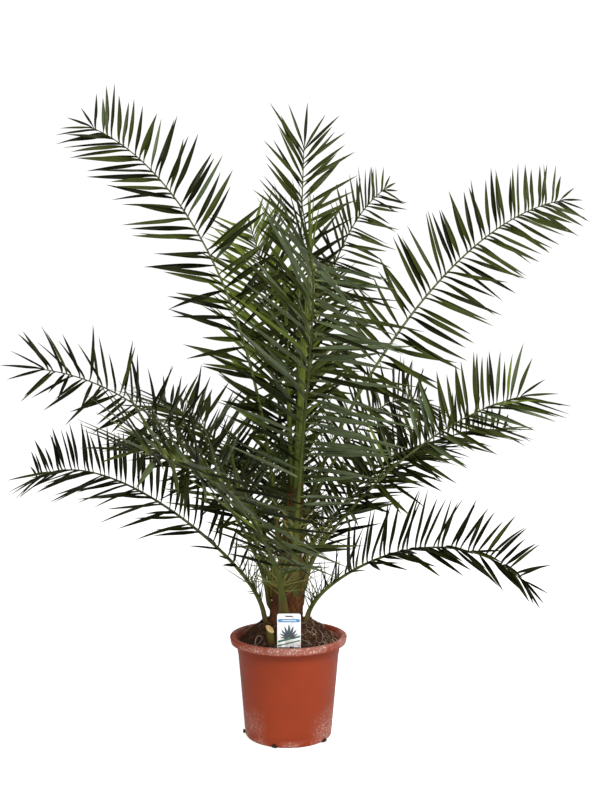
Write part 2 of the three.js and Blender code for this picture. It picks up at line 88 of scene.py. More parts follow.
# turn: degrees from +X at the trunk; height: of the stalk's root above the compost; length: along
# the rib; open and droop: degrees that it opens at once and arches by its end; sway: degrees that
# its heading changes; roll: degrees that the blade turns about the rib; bare: share of the rib
# without leaflets; leaflet: the longest one; spread: how far the leaflets stand off the rib; lift:
# degrees that they are raised towards its upper side; rise: how much those that point up turn to
# the sky; end: length of the last leaflets as a share of the longest; tint: see TINT_SHARES.
Frond = namedtuple(
    "Frond", "turn height length open droop sway roll bare leaflet spread lift rise end tint"
)
FRONDS = (
    Frond(190, 2, 890, 41, 71, -54, -50, 0.14, 145, 0.95, 28, 0.8, 0.55, "dark"),  # lower left
    Frond(345, 2, 645, 50, 79, -8, 50, 0.14, 150, 0.8, 40, 0.9, 0.45, "dark"),  # lower right
    Frond(260, 30, 795, 43, 35, -30, -35, 0.13, 240, 1.18, 15, 0, 0.55, "mixed"),  # front left
    Frond(172, 45, 880, 23, 57, 40, -62, 0.22, 150, 1.15, 12, 0.1, 0.7, "dark"),  # left
    Frond(96, 22, 760, 34, 74, 14, 0, 0.16, 190, 0.95, 20, 0.1, 0.7, "deep"),  # back, low
    Frond(150, 64, 600, 26, 56, 10, -24, 0.16, 175, 0.95, 20, 0.1, 0.7, "mixed"),  # back left, lowest
    Frond(44, 40, 700, 34, 62, 6, 16, 0.16, 180, 0.95, 20, 0.1, 0.7, "deep"),  # back right, lowest
    Frond(345, 90, 800, 36, 41, 40, 50, 0.22, 160, 1.22, 26, 0.5, 0.8, "mixed"),  # right
    Frond(140, 84, 720, 22, 66, -4, -16, 0.16, 195, 0.95, 20, 0.1, 0.7, "mixed"),  # back left
    Frond(22, 130, 845, 48, 49, 15, 30, 0.16, 130, 0.95, 20, 0.1, 0.7, "deep"),  # back right
    Frond(58, 150, 890, 40, 59, -5, 55, 0.18, 150, 1.2, 20, 0.1, 0.85, "deep"),  # back right, low
    Frond(290, 120, 1010, 9, 78, -26, -49, 0.14, 250, 1.18, 14, 0, 0.6, "grey"),  # front
    Frond(92, 160, 1060, 14, 66, -10, -6, 0.16, 235, 0.75, 20, 0.1, 0.7, "olive"),  # back
    Frond(112, 205, 1000, 6, 48, -10, -22, 0.16, 215, 0.82, 20, 0.1, 0.7, "young"),  # back left, high
    Frond(182, 200, 1315, 4, 57, -32, -58, 0.16, 185, 1.08, 16, 0.2, 0.6, "deep"),  # upper left
    Frond(8, 220, 1325, 24, 49, 28, 66, 0.22, 180, 1.2, 12, 0.6, 0.6, "olive"),  # upper right
    Frond(50, 288, 1000, 1, 53, -3, 75, 0.18, 150, 1.25, 22, 0.3, 0.45, "olive"),  # back right, high
    Frond(78, 300, 975, 1, 10, 4, 22, 0.12, 170, 0.9, 20, 0, 0.85, "olive"),  # top
)
# The tints of leaflets, and how strong the waxy skin of each is. That strength also sets how strong
# the painted highlights along each leaflet's edges and midrib are.
TINT_SHINES_AND_GLINTS = {"deep": 0.1, "olive": 0.14, "young": 0.18, "grey": 0.3, "shade": 0.08}
# For a frond of each tint, the shares of its leaflets that take those tints. The dark fronds, low and
# outside the crown, take nearly half their leaflets in the shade tint as painted shade.
TINT_SHARES = {
    "dark": (0.48, 0.06, 0, 0, 0.46),
    "deep": (0.44, 0.34, 0, 0.1, 0.12),
    "olive": (0.22, 0.72, 0, 0, 0.06),
    "young": (0.02, 0.22, 0.74, 0.02, 0),
    "grey": (0.12, 0.14, 0.06, 0.68, 0),
    "mixed": (0.22, 0.4, 0.04, 0.3, 0.04),
}

LEAFLET_CLUSTER = 0.22  # how far the outer two of each three are drawn to the one between them
LEAFLET_RANKS = (0.9, -0.7, 0.1, -1.0, 0.6)  # how much each in turn is raised off its row
BROADER = 0.24  # how much broader the leaflets of the longest fronds are

RIB_ROOT_LEAN = 4  # degrees from upright where it leaves the trunk
RIB_OPEN_SHARE = 0.09  # the share of its length that it opens within
RIB_ROLLED_AT = 0.45
RIB_STAND = 6  # its middle off the trunk's surface
RIB_BASE_SHARE = 0.1
RIB_BASE = (15, 11)  # half width and half depth of the clasping base
RIB_NECK = (5.6, 4.8)  # the same above the base
RIB_TIP = 1.3  # half width
RIB_FOOT_SHARE = -0.05  # where its foot ends, sunk into the trunk

# turn and height: of its root; lean: degrees from upright; heading: degrees from +X that it leans to
Spear = namedtuple("Spear", "turn height lean heading length")
SPEARS = (
    Spear(20, 338, 3.4, 350, 760),
    Spear(200, 322, 4.6, 120, 560),
    Spear(290, 312, 5.2, 300, 430),
)
SPEAR_STAND = 5  # off the trunk's middle
SPEAR_HALF_WIDTH = 7
SPEAR_HALF_DEPTH = 5
SPEAR_PROFILE = ((0, 0.6), (0.3, 1), (0.7, 0.6), (1, 0.12))

LABEL_SIZE = (58, 150, 1.2)  # width, height, thickness
LABEL_PLACE = (2.5, -112, 183)  # middle of its lower edge

STUB_TURN = 249
STUB_DISTANCE = 97
STUB_LEAN = 12
STUB_FOOT = 240
STUB_LENGTH = 54
STUB_HALF = (10, 6.5)
STUB_SLANT = (4, -7)  # rise of the cut face outwards and to its right

CAMERA_LENS = 41.985
CAMERA_SENSOR = 36
CAMERA_SIDEWAYS = 23.4
FLOOR_REACH = 30000


# ---- Colours and settings -----------------------------------------------------------------------


def linear(code):
    """The linear colour of an sRGB hex code such as 'a0472f'."""
    parts = np.array([int(code[i : i + 2], 16) for i in (0, 2, 4)]) / 255
    return tuple(np.where(parts <= 0.04045, parts / 12.92, ((parts + 0.055) / 1.055) ** 2.4))


def colour_property(name, description, code):
    return bpy.props.FloatVectorProperty(
        name=name, description=description, subtype="COLOR", min=0, max=1, default=linear(code)
    )


class PalmColours(bpy.types.PropertyGroup):
    pot: colour_property("Pot", "Moulded terracotta-coloured plastic", "8e361a")
    chalk: colour_property("Chalk", "Dry water marks and scuffs on the pot", "d2b3a6")
    compost: colour_property("Compost", "Damp potting compost", "241207")
    bark: colour_property("Bark", "Crumbs of bark in the compost", "462815")
    coir: colour_property("Coir", "Fibres in the compost", "5c3a22")
    root: colour_property("Root", "Dry pale roots on the compost", "b89e86")
    fibre: colour_property("Fibre", "Matted leaf-sheath fibre on the trunk", "663c1b")
    sheath: colour_property("Sheath", "Clasping foot of a leaf stalk", "574d1c")
    stalk: colour_property("Stalk", "Leaf stalk", "52581c")
    rachis: colour_property("Rachis", "Rib among the leaflets", "46531a")
    rachis_end: colour_property("Rachis end", "Young outer end of the rib", "4b5220")
    spine: colour_property("Spine", "Green spines, and the swellings under the leaflets", "46531f")
    # also the colour of the painted highlights along the leaflets' edges and midribs
    low_spine: colour_property("Pale spine", "Bleached spines, and painted highlight lines and pale feet of leaflets", "868a4a")
    boot: colour_property("Leaf base", "Old leaf bases that clasp the trunk", "434b1c")
    deep: colour_property("Deep leaflet", "Grown leaflet in its usual green", "1b2007")
    olive: colour_property("Olive leaflet", "Leaflet that stands in the light", "343c13")
    young: colour_property("Young leaflet", "Leaflet of the youngest fronds", "66762b")
    # partly painted sheen: a grey-green waxy bloom, made paler to stand in for the sheen of light on
    # the front frond
    grey: colour_property("Grey leaflet", "Leaflet with a waxy bloom and a painted sheen", "4e5a3e")
    # painted shade: a near-black tint for leaflets that look black against the light, dealt mostly to
    # the dark outer fronds
    shade: colour_property("Shade leaflet", "Leaflet painted near-black as shade", "121305")
    spear: colour_property("Spear", "Folded young leaf", "54611f")
    cut: colour_property("Cut face", "Dry face of the pruned leaf base", "c9ad74")
    card: colour_property("Card", "White printed plastic", "f3f5f6")
    print_blue: colour_property("Blue print", "Blue ink on the card", "4a86b6")
    print_green: colour_property("Green print", "Green ink on the card", "2f7a55")
    print_dark: colour_property("Dark print", "Dark ink on the card", "3d4a52")
    print_violet: colour_property("Violet print", "Violet ink on the card", "5f5c7c")
    floor: colour_property("Floor", "Studio floor", "fafaf9")


def share_property(name, description, number, **kind):
    return bpy.props.FloatProperty(name=name, description=description, default=number, min=0, **kind)


def length_property(name, description, millimetres):
    return share_property(name, description, millimetres * MM, subtype="DISTANCE", unit="LENGTH")


def angle_property(name, description, degrees):
    return share_property(name, description, np.radians(degrees), subtype="ANGLE", unit="ROTATION")


def count_property(name, description, number):
    return bpy.props.IntProperty(name=name, description=description, default=number, min=0)


class PalmSizes(bpy.types.PropertyGroup):
    leaflet_pairs: count_property("Leaflet pairs", "On a frond that is a metre long", 40)
    leaflet_width: share_property("Leaflet width", "Width of a leaflet as a share of its length", 0.03)
    leaflet_extra: length_property("Least leaflet width", "Added to every leaflet's width", 5.8)
    leaflet_thickness: length_property("Leaflet thickness", "At the leaflet's midrib", 1.0)
    leaflet_fold: angle_property("Leaflet fold", "Rise of each half from the midrib", 28)
    leaflet_sag: share_property("Leaflet sag", "Fall of the tip as a share of the length", 0.06)
    spine_length: length_property("Spine length", "Longest of the stiff lowest leaflets", 125)
    strand_count: count_property("Trunk strands", "Loose fibres on the trunk", 420)
    strand_radius: length_property("Strand radius", "Of a loose fibre", 0.55)
    crumb_count: count_property("Crumbs", "Crumbs on the compost", 2600)
    coir_count: count_property("Coir", "Short fibres on the compost", 1500)
    root_count: count_property("Roots", "Pale roots on the compost", 240)
    camera_distance: length_property("Camera distance", "In front of the pot", 2400)
    camera_height: length_property("Camera height", "Above the floor", 857)


# ---- Arrays -------------------------------------------------------------------------------------


def unit(vectors):
    """Vectors scaled to a length of 1."""
    return vectors / np.linalg.norm(vectors, axis=-1, keepdims=True)


def mix(start, end, share):
    """start where the share is 0, end where it is 1."""
    return start + (end - start) * share


def circle(count):
    """Angles, in radians, of count points evenly round a circle."""
    return np.arange(count) * TURN / count


def level(turn):
    """Level unit vectors at angles in radians from +X."""
    return np.stack([np.cos(turn), np.sin(turn), np.zeros_like(turn)], axis=-1)


def around(angles):
    """Level unit vectors at angles in degrees from +X."""
    return level(np.radians(angles))


def smoothstep(x, low, high):
    """0 below low, 1 above high, and 3t^2 - 2t^3 between them."""
    t = np.clip((x - low) / (high - low), 0, 1)
    return t * t * (3 - 2 * t)


def along(pairs, x):
    """The value at x of a line through (position, value) pairs."""
    positions, values = np.array(pairs, float).T
    return np.interp(x, positions, values)


def ripple(points, wavelength, seed, octaves=3):
    """Smooth noise of about -1 to 1: sine waves in seeded directions, halved in length and size at
    each octave."""
    random = np.random.default_rng(seed)
    total = np.zeros(points.shape[:-1])
    for octave in range(octaves):
        for direction in unit(random.normal(size=(5, 3))):
            phase = random.uniform(0, TURN)
            total += np.sin(points @ direction * (TURN * 2**octave / wavelength) + phase) / 2**octave
    return total / 5


def grid_faces(rows, columns):
    """Four-sided faces of a grid of rows x columns points whose last column meets the first."""
    row, column = np.meshgrid(np.arange(rows - 1), np.arange(columns), indexing="ij")
    following = (column + 1) % columns
    corners = [row * columns + column, row * columns + following]
    corners += [(row + 1) * columns + following, (row + 1) * columns + column]
    return np.stack(corners, axis=-1).reshape(-1, 4)


def loft_faces(stations, sides):
    """Faces of a closed loft: its wall, and one many-sided face at either end."""
    ring = np.arange(sides)
    return [grid_faces(stations, sides), ring[None, ::-1], (ring + (stations - 1) * sides)[None]]


def grid_uv(rows, columns):
    """For each corner of a closed grid's faces, its share of the way round and along."""
    row, column = np.meshgrid(np.arange(rows - 1), np.arange(columns), indexing="ij")
    corners = [(column, row), (column + 1, row), (column + 1, row + 1), (column, row + 1)]
    shares = [np.stack([u / columns, v / (rows - 1)], axis=-1) for u, v in corners]
    return np.stack(shares, axis=-2).reshape(-1, 4, 2)


def signed_volume(points, face_sets):
    """Six times the volume inside the faces: the sum of a . (b x c) over a fan of each face."""
    total = 0.0
    for faces in face_sets:
        for corner in range(1, faces.shape[1] - 1):
            a, b, c = points[faces[:, 0]], points[faces[:, corner]], points[faces[:, corner + 1]]
            total += np.einsum("ij,ij->", a, np.cross(b, c))
    return total


def mesh_piece(name, points, face_sets, material, uv_sets=None, crease=30):
    """A mesh object from points in millimetres and lists of equal-sided faces, turned outwards, and
    shaded smooth up to an angle of crease degrees between two faces."""
    points = np.asarray(points, float).reshape(-1, 3) * MM
    inside_out = signed_volume(points, face_sets) < 0
    if inside_out:
        face_sets = [faces[:, ::-1] for faces in face_sets]
    mesh = bpy.data.meshes.new(name)
    corners = np.concatenate([faces.ravel() for faces in face_sets]).astype(np.int32)
    sides = np.concatenate([np.full(len(faces), faces.shape[1]) for faces in face_sets])
    starts = np.concatenate([[0], np.cumsum(sides)[:-1]]).astype(np.int32)
    mesh.vertices.add(len(points))
    mesh.vertices.foreach_set("co", points.ravel().astype(np.float32))
    mesh.loops.add(len(corners))
    mesh.loops.foreach_set("vertex_index", corners)
    mesh.polygons.add(len(sides))
    mesh.polygons.foreach_set("loop_start", starts)
    if uv_sets is not None:
        if inside_out:
            uv_sets = [uv[:, ::-1] for uv in uv_sets]
        layer = mesh.uv_layers.new(name="lengthwise")
        layer.data.foreach_set("uv", np.concatenate([uv.ravel() for uv in uv_sets]).astype(np.float32))
    mesh.update(calc_edges=True)
    if mesh.validate():
        raise ValueError(f"{name} has faces that Blender had to mend")
    mesh.shade_smooth()
    mesh.set_sharp_from_angle(angle=np.radians(crease))
    mesh.materials.append(material)
    made = bpy.data.objects.new(name, mesh)
    bpy.context.scene.collection.objects.link(made)
    return made


def settle(made, slot, *nodes):
    """Rides a piece on the palm's only body, in place of the solids named."""
    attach(made, "root")
    if nodes:
        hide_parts(*nodes)


def lofts(at, across, up, x, y):
    """Many closed lofts at once. Point k of station i is at + across x + up y; at, across and up
    have the shape (lofts, stations, 3), or 1 for across and up that hold for every station, and x
    and y have the shape (lofts, stations, points). Returns the points, the faces with both ends
    capped, and the faces' UVs: share round the loft and along it."""
    count, stations = at.shape[:2]
    sides = x.shape[-1]
    points = at[:, :, None] + across[:, :, None] * x[..., None] + up[:, :, None] * y[..., None]
    first = np.arange(count)[:, None, None] * (stations * sides)
    faces = [(first + each).reshape(-1, each.shape[1]) for each in loft_faces(stations, sides)]
    wall_uv = np.tile(grid_uv(stations, sides), (count, 1, 1))
    cap_uv = np.full((count, sides, 2), (0.5, 0.0))
    return points.reshape(-1, 3), faces, [wall_uv, cap_uv, cap_uv + (0, 1)]


def loft_piece(name, groups, material, crease=30):
    """One mesh of many lofts, from groups of (at, across, up, x, y)."""
    points, faces, uvs = lofts(*[np.concatenate(values) for values in zip(*groups)])
    return mesh_piece(name, points, faces, material, uvs, crease)


def tubes(paths, radii, sides=3):
    """Thin tubes along paths of shape (tubes, stations, 3): circles of the given radii, square to
    the path, set out from a direction that each path isn't parallel to."""
    forward = unit(np.gradient(paths, axis=1))
    steep = np.abs(forward[:, :1, 2:]) > 0.8
    across = unit(np.cross(forward, np.where(steep, [1.0, 0, 0], UP)))
    up = np.cross(across, forward)
    angles = circle(sides)
    radii = np.broadcast_to(radii, paths.shape[:2])[..., None]
    return lofts(paths, across, up, radii * np.cos(angles), radii * np.sin(angles))


def pointed(start, rings, end):
    """A closed surface through rings of points, of shape (rows, sides, 3), and one point at either
    end. Returns its points and faces."""
    rows, sides = rings.shape[:2]
    points = np.concatenate([[start], rings.reshape(-1, 3), [end]])
    ring = np.arange(sides)
    following = (ring + 1) % sides
    last = len(points) - 1
    foot = np.stack([np.zeros(sides, int), 1 + following, 1 + ring], axis=-1)
    top = np.stack([np.full(sides, last), last - sides + ring, last - sides + following], axis=-1)
    return points, [grid_faces(rows, sides) + 1, foot, top]


def lathe(profile, sides, offset=0):
    """A profile of (radius, height) carried round the Z axis, its ends on the axis. offset is added
    to the radius of each point between them."""
    profile = np.asarray(profile, float)
    radius, height = profile[1:-1, :1] + offset, profile[1:-1, 1:]
    rings = level(circle(sides)) * radius[..., None] + UP * height[..., None]
    return pointed(UP * profile[0, 1], rings, UP * profile[-1, 1])


def arc(centre, radius, start, end, count=5):
    """Points of an arc round a centre (r, z), from start to end degrees."""
    angles = np.radians(np.linspace(start, end, count))
    return [(centre[0] + radius * np.cos(a), centre[1] + radius * np.sin(a)) for a in angles]


def cut_away(made, cutters):
    """Cuts closed meshes out of a piece with an exact Boolean, and removes them."""
    for cutter in cutters:
        boolean = made.modifiers.new("cut", "BOOLEAN")
        boolean.operation = "DIFFERENCE"
        boolean.solver = "EXACT"
        boolean.object = cutter
    whole = made.evaluated_get(bpy.context.evaluated_depsgraph_get())
    mesh = bpy.data.meshes.new_from_object(whole)
    made.modifiers.clear()
    made.data = mesh
    for cutter in cutters:
        bpy.data.objects.remove(cutter)


# ---- Materials ----------------------------------------------------------------------------------


def add_node(material, kind, inputs=(), **settings):
    """Adds one node with its settings. inputs gives a value or another node's output to each
    socket, by name or number."""
    made = material.node_tree.nodes.new("ShaderNode" + kind)
    for key, value in settings.items():
        setattr(made, key, value)
    for socket, value in dict(inputs).items():
        if isinstance(value, bpy.types.NodeSocket):
            material.node_tree.links.new(value, made.inputs[socket])
        else:
            made.inputs[socket].default_value = value
    return made


def start_material(name, roughness, ior=1.5, **settings):
    """An empty finish with a surface shader; settings are further sockets of the shader."""
    material = bpy.data.materials.new(name)
    material.use_nodes = True
    material.node_tree.nodes.clear()
    values = {"Roughness": roughness, "IOR": ior}
    values.update({key.replace("_", " "): value for key, value in settings.items()})
    shader = add_node(material, "BsdfPrincipled", values)
    add_node(material, "OutputMaterial", {"Surface": shader.outputs[0]})
    return material, shader


def plug(material, node, socket, source):
    """Links a node's output to a socket of another."""
    material.node_tree.links.new(source, node.inputs[socket])


def place_in(material, kind="Object"):
    """Places on the object in metres, or its UVs."""
    return add_node(material, "TexCoord").outputs[kind]


def ramp(material, value, low, high, start=0.0, end=1.0):
    """start where a value is low, end where it is high, and a straight line between them."""
    inputs = {"Value": value, "From Min": low, "From Max": high, "To Min": start, "To Max": end}
    return add_node(material, "MapRange", inputs).outputs[0]


def mottle(material, place, wavelength, low, high, detail=3.0):
    """Noise whose patches are about a wavelength (in metres) across, spread to 0-1 between low and
    high."""
    inputs = {"Vector": place, "Scale": 0.5 / wavelength, "Detail": detail}
    return ramp(material, add_node(material, "TexNoise", inputs).outputs[0], low, high)


def streaks(material, place, scale, distortion, detail=2.0):
    """Waves across the first axis of a place, as 0-1."""
    inputs = {"Vector": place, "Scale": scale, "Distortion": distortion, "Detail": detail}
    return add_node(material, "TexWave", inputs, bands_direction="X").outputs[1]


def toned(colour, factor):
    """A colour made lighter or darker by a factor, or by one for each channel."""
    return tuple(np.minimum(np.array(colour) * factor, 1))


def blend_colours(material, share, first, second):
    """One colour or socket turning into another as share goes from 0 to 1."""
    mixed = add_node(material, "Mix", {0: share}, data_type="RGBA")
    for socket, value in ((6, first), (7, second)):
        if isinstance(value, bpy.types.NodeSocket):
            plug(material, mixed, socket, value)
        else:
            mixed.inputs[socket].default_value = (*value[:3], 1)
    return mixed.outputs[2]


def calculate(material, operation, first, second):
    """One step of arithmetic on numbers or sockets."""
    return add_node(material, "Math", {0: first, 1: second}, operation=operation).outputs[0]


def emboss(material, shader, height, distance):
    """Bump: height of 0-1 stands for a relief of distance, in metres."""
    bump = add_node(material, "Bump", {"Height": height, "Distance": distance})
    plug(material, shader, "Normal", bump.outputs[0])


def pot_plastic(colours):
    """Injection-moulded polypropylene, terracotta-coloured: an even satin skin, with dry water
    marks and scuffs where the pot is gripped, splashed and dragged."""
    name = "moulded terracotta-coloured polypropylene"
    material, shader = start_material(name, 0.5, 1.49, Specular_IOR_Level=0.15)
    place = place_in(material)
    shade = mottle(material, place, 0.06, 0.35, 0.7, 2)
    base = blend_colours(material, shade, colours.pot, toned(colours.pot, 0.88))
    # where dirt gathers: on the lip, round the foot, and low on the two sides, where pots rub
    across, _, height = add_node(material, "SeparateXYZ", {"Vector": place}).outputs
    sides = ramp(material, calculate(material, "ABSOLUTE", across, 0), 0.05, 0.115)
    low_sides = calculate(material, "MULTIPLY", ramp(material, height, 0.1, 0.015), sides)
    foot = calculate(material, "MAXIMUM", ramp(material, height, 0.02, 0.004), low_sides)
    reach = calculate(material, "MAXIMUM", ramp(material, height, 0.236, 0.243), foot)
    patches = mottle(material, place, 0.03, 0.4, 0.62, 4)
    film = calculate(material, "MULTIPLY", patches, calculate(material, "MULTIPLY", reach, 0.22))
    specks = mottle(material, place, 0.0022, 0.55, 0.63, 2)
    chips = calculate(material, "MULTIPLY", specks, calculate(material, "MULTIPLY", patches, reach))
    dusty = blend_colours(material, film, base, colours.chalk)
    plug(material, shader, "Base Color", blend_colours(material, chips, dusty, colours.chalk))
    plug(material, shader, "Roughness", ramp(material, film, 0.0, 1.0, 0.42, 0.85))
    emboss(material, shader, mottle(material, place, 0.0016, 0.3, 0.7, 3), 0.00012)
    return material


def loose_stuff(name, colour, wavelength, relief, roughness=0.95):
    """A dull crumbly or fibrous stuff: its colour wanders between itself and half as bright over
    patches of a wavelength."""
    material, shader = start_material(name, roughness, 1.4)
    place = place_in(material)
    shade = mottle(material, place, wavelength, 0.3, 0.7, 4)
    plug(material, shader, "Base Color", blend_colours(material, shade, colour, toned(colour, 0.45)))
    emboss(material, shader, mottle(material, place, wavelength / 4, 0.3, 0.7, 4), relief)
    return material


def sheath_fibre(colour):
    """Matted leaf-sheath fibre of a palm trunk: dull threads about 0.5 mm thick that run up the
    trunk, drawn 1 mm apart so that they show, red-brown at its foot and golden higher up."""
    material, shader = start_material("matted leaf-sheath fibre", 0.95, 1.4)
    place = place_in(material)
    drawn_up = add_node(material, "Mapping", {"Vector": place, "Scale": (1, 1, 0.08)}).outputs[0]
    threads = mottle(material, drawn_up, 0.001, 0.35, 0.65, 3)
    patches = mottle(material, place, 0.02, 0.35, 0.7)
    height = add_node(material, "SeparateXYZ", {"Vector": place}).outputs[2]
    golden = toned(colour, (0.55, 1.25, 0.8))
    bright = blend_colours(material, ramp(material, height, 0.34, 0.44), colour, golden)
    woven = blend_colours(material, threads, toned(colour, 0.35), bright)
    plug(material, shader, "Base Color", blend_colours(material, patches, woven, bright))
    emboss(material, shader, threads, 0.0008)
    return material


def stalk_skin(name, colour, roughness=0.42):
    """The waxy skin of a palm's leaf stalk: satin, with faint ribs that run along it and small
    brown scurf marks."""
    material, shader = start_material(name, roughness, 1.45, Specular_IOR_Level=0.3)
    shade = mottle(material, place_in(material), 0.012, 0.35, 0.75)
    scurf = toned(colour, (0.7, 0.66, 0.6))
    plug(material, shader, "Base Color", blend_colours(material, shade, colour, scurf))
    emboss(material, shader, streaks(material, place_in(material, "UV"), 3.0, 1.5, 1.0), 0.0003)
    return material


def leaf_blade(name, colour, pale, wax):
    """A palm leaflet: a tough blade with a thin waxy skin that gives it a soft shine. Its foot is
    paler, its edges and its midrib carry pale lines that are painted highlights, and veins 0.8 mm
    apart run along it, felt more than seen."""
    material, shader = start_material(name, 0.36, 1.45, Specular_IOR_Level=wax)
    shade = mottle(material, place_in(material), 0.03, 0.3, 0.72)
    green = blend_colours(material, shade, colour, toned(colour, (0.6, 0.62, 0.5)))
    round_and_along = place_in(material, "UV")
    turn, share, _ = add_node(material, "SeparateXYZ", {"Vector": round_and_along}).outputs
    # 0 at both edges, 0.25 at the midrib
    from_edge = calculate(material, "PINGPONG", turn, 0.25)
    # painted highlights: pale lines along both edges and the midrib, as strong as the shine, stand in
    # for glints of light on the folded blade; the paler foot below is the leaflet's own colour
    painted_edge_glint = ramp(material, from_edge, 0.045, 0.02)
    midrib = ramp(material, from_edge, 0.225, 0.24)
    lines = calculate(material, "MULTIPLY", calculate(material, "MAXIMUM", painted_edge_glint, midrib), wax)
    foot = calculate(material, "MULTIPLY", ramp(material, share, 0.2, 0.02), 0.2 + wax)
    light = calculate(material, "MAXIMUM", lines, foot)
    plug(material, shader, "Base Color", blend_colours(material, light, green, pale))
    emboss(material, shader, streaks(material, round_and_along, 6.0, 0.4), 0.00012)
    return material


def cut_wood(colour):
    """The dried face of a cut leaf base: pale corky pith dotted with the ends of its fibres."""
    material, shader = start_material("dried cut leaf base", 0.85, 1.4)
    dots = mottle(material, place_in(material), 0.0012, 0.5, 0.68, 1)
    brown = toned(colour, (0.5, 0.4, 0.3))
    plug(material, shader, "Base Color", blend_colours(material, dots, colour, brown))
    emboss(material, shader, dots, 0.0003)
    return material


def printed_card(name, colour):
    """A printed polystyrene plant label: smooth gloss, with faint soil smears near its foot."""
    material, shader = start_material(name, 0.3, 1.55)
    place = place_in(material)
    height = add_node(material, "SeparateXYZ", {"Vector": place}).outputs[2]
    low = ramp(material, height, 0.29, 0.255)
    smears = calculate(material, "MULTIPLY", mottle(material, place, 0.006, 0.45, 0.7), low)
    dirty = toned(colour, (0.62, 0.52, 0.44))
    plug(material, shader, "Base Color", blend_colours(material, smears, colour, dirty))
    return material


# ---- The palm's own curves ----------------------------------------------------------------------

Frames = namedtuple("Frames", "share at forward up across")


def trunk_centre(height):
    """The trunk's middle at heights above the compost: a straight line that leans to +X."""
    return np.array([TRUNK_FOOT, 0, TRUNK_BASE]) + np.multiply.outer(height, (TRUNK_LEAN, 0, 1))


def trunk_radius(height):
    """The trunk's radius at heights above the compost."""
    return along(TRUNK_PROFILE, np.asarray(height, float) / TRUNK_HEIGHT)


def rib_direction(frond, share):
    """Where a rib points at shares u of its length. Its lean from upright is 4 degrees +
    open (1 - exp(-u / 0.09)) + droop u^2, and its heading is turn + sway u. Returns the forward
    direction and the direction square to it that faces the sky."""
    opened = frond.open * (1 - np.exp(-share / RIB_OPEN_SHARE))
    lean = np.radians(RIB_ROOT_LEAN + opened + frond.droop * share**2)[:, None]
    out = around(frond.turn + frond.sway * share)
    return out * np.sin(lean) + UP * np.cos(lean), UP * np.sin(lean) - out * np.cos(lean)


def rib_frames(frond, steps=192):
    """The rib as frames at equal steps, each step taken in the direction at its middle. up turns
    about the rib by the frond's roll within the first 0.45 of its length."""
    share = np.linspace(0, 1, steps + 1)
    stride = rib_direction(frond, (share[1:] + share[:-1]) / 2)[0] * (frond.length / steps)
    root = trunk_centre(frond.height) + around(frond.turn) * (trunk_radius(frond.height) + RIB_STAND)
    at = root + np.vstack([np.zeros(3), np.cumsum(stride, axis=0)])
    forward, skyward = rib_direction(frond, share)
    roll = np.radians(frond.roll * smoothstep(share, 0, RIB_ROLLED_AT))[:, None]
    up = skyward * np.cos(roll) + np.cross(forward, skyward) * np.sin(roll)
    return Frames(share, at, forward, up, np.cross(forward, up))


def frames_at(frames, share):
    """The frames at any shares of a rib, read between its steps."""

    def read(values):
        return np.stack([np.interp(share, frames.share, column) for column in values.T], axis=-1)

    turned = [unit(read(values)) for values in (frames.forward, frames.up, frames.across)]
    return Frames(share, read(frames.at), *turned)


def rib_half_sizes(share):
    """Half width and half depth: neck (5.6, 4.8) tapering as u^0.75 to the tip, plus a clasping
    base that fades as exp(-u / 0.1)."""
    clasp = np.exp(-share / RIB_BASE_SHARE)
    taper = mix(1, RIB_TIP / RIB_NECK[0], np.maximum(share, 0) ** 0.75)
    return [neck * taper + (base - neck) * clasp for neck, base in zip(RIB_NECK, RIB_BASE)]


def leaflet_share(t, end):
    """Length of a leaflet at a share t of the leafy rachis, as a share of the longest: 0.4 at its
    foot, 1 at t = 0.3 and the frond's own share at its end; rising as a quarter sine wave and
    falling as the 0.6th power of one."""
    rising = mix(0.4, 1, np.sin(np.minimum(t / 0.3, 1) * np.pi / 2))
    falling = mix(end, 1, np.cos(np.clip((t - 0.3) / 0.7, 0, 1) * np.pi / 2) ** 0.6)
    return np.where(t < 0.3, rising, falling)


def leaflet_angle(t):
    """Degrees between leaflet and rachis: 76 at the foot, 66 half-way, 44 at the end."""
    outer = np.maximum(t * 2 - 1, 0) ** 1.6
    return np.where(t < 0.5, mix(76, 66, t * 2), mix(66, 44, outer))


# ---- Pot ----------------------------------------------------------------------------------------


def wall_radius(height):
    """Outer radius of the pot's wall: a straight taper."""
    return mix(POT_FOOT_RADIUS, POT_WALL_TOP[0], np.asarray(height, float) / POT_WALL_TOP[1])


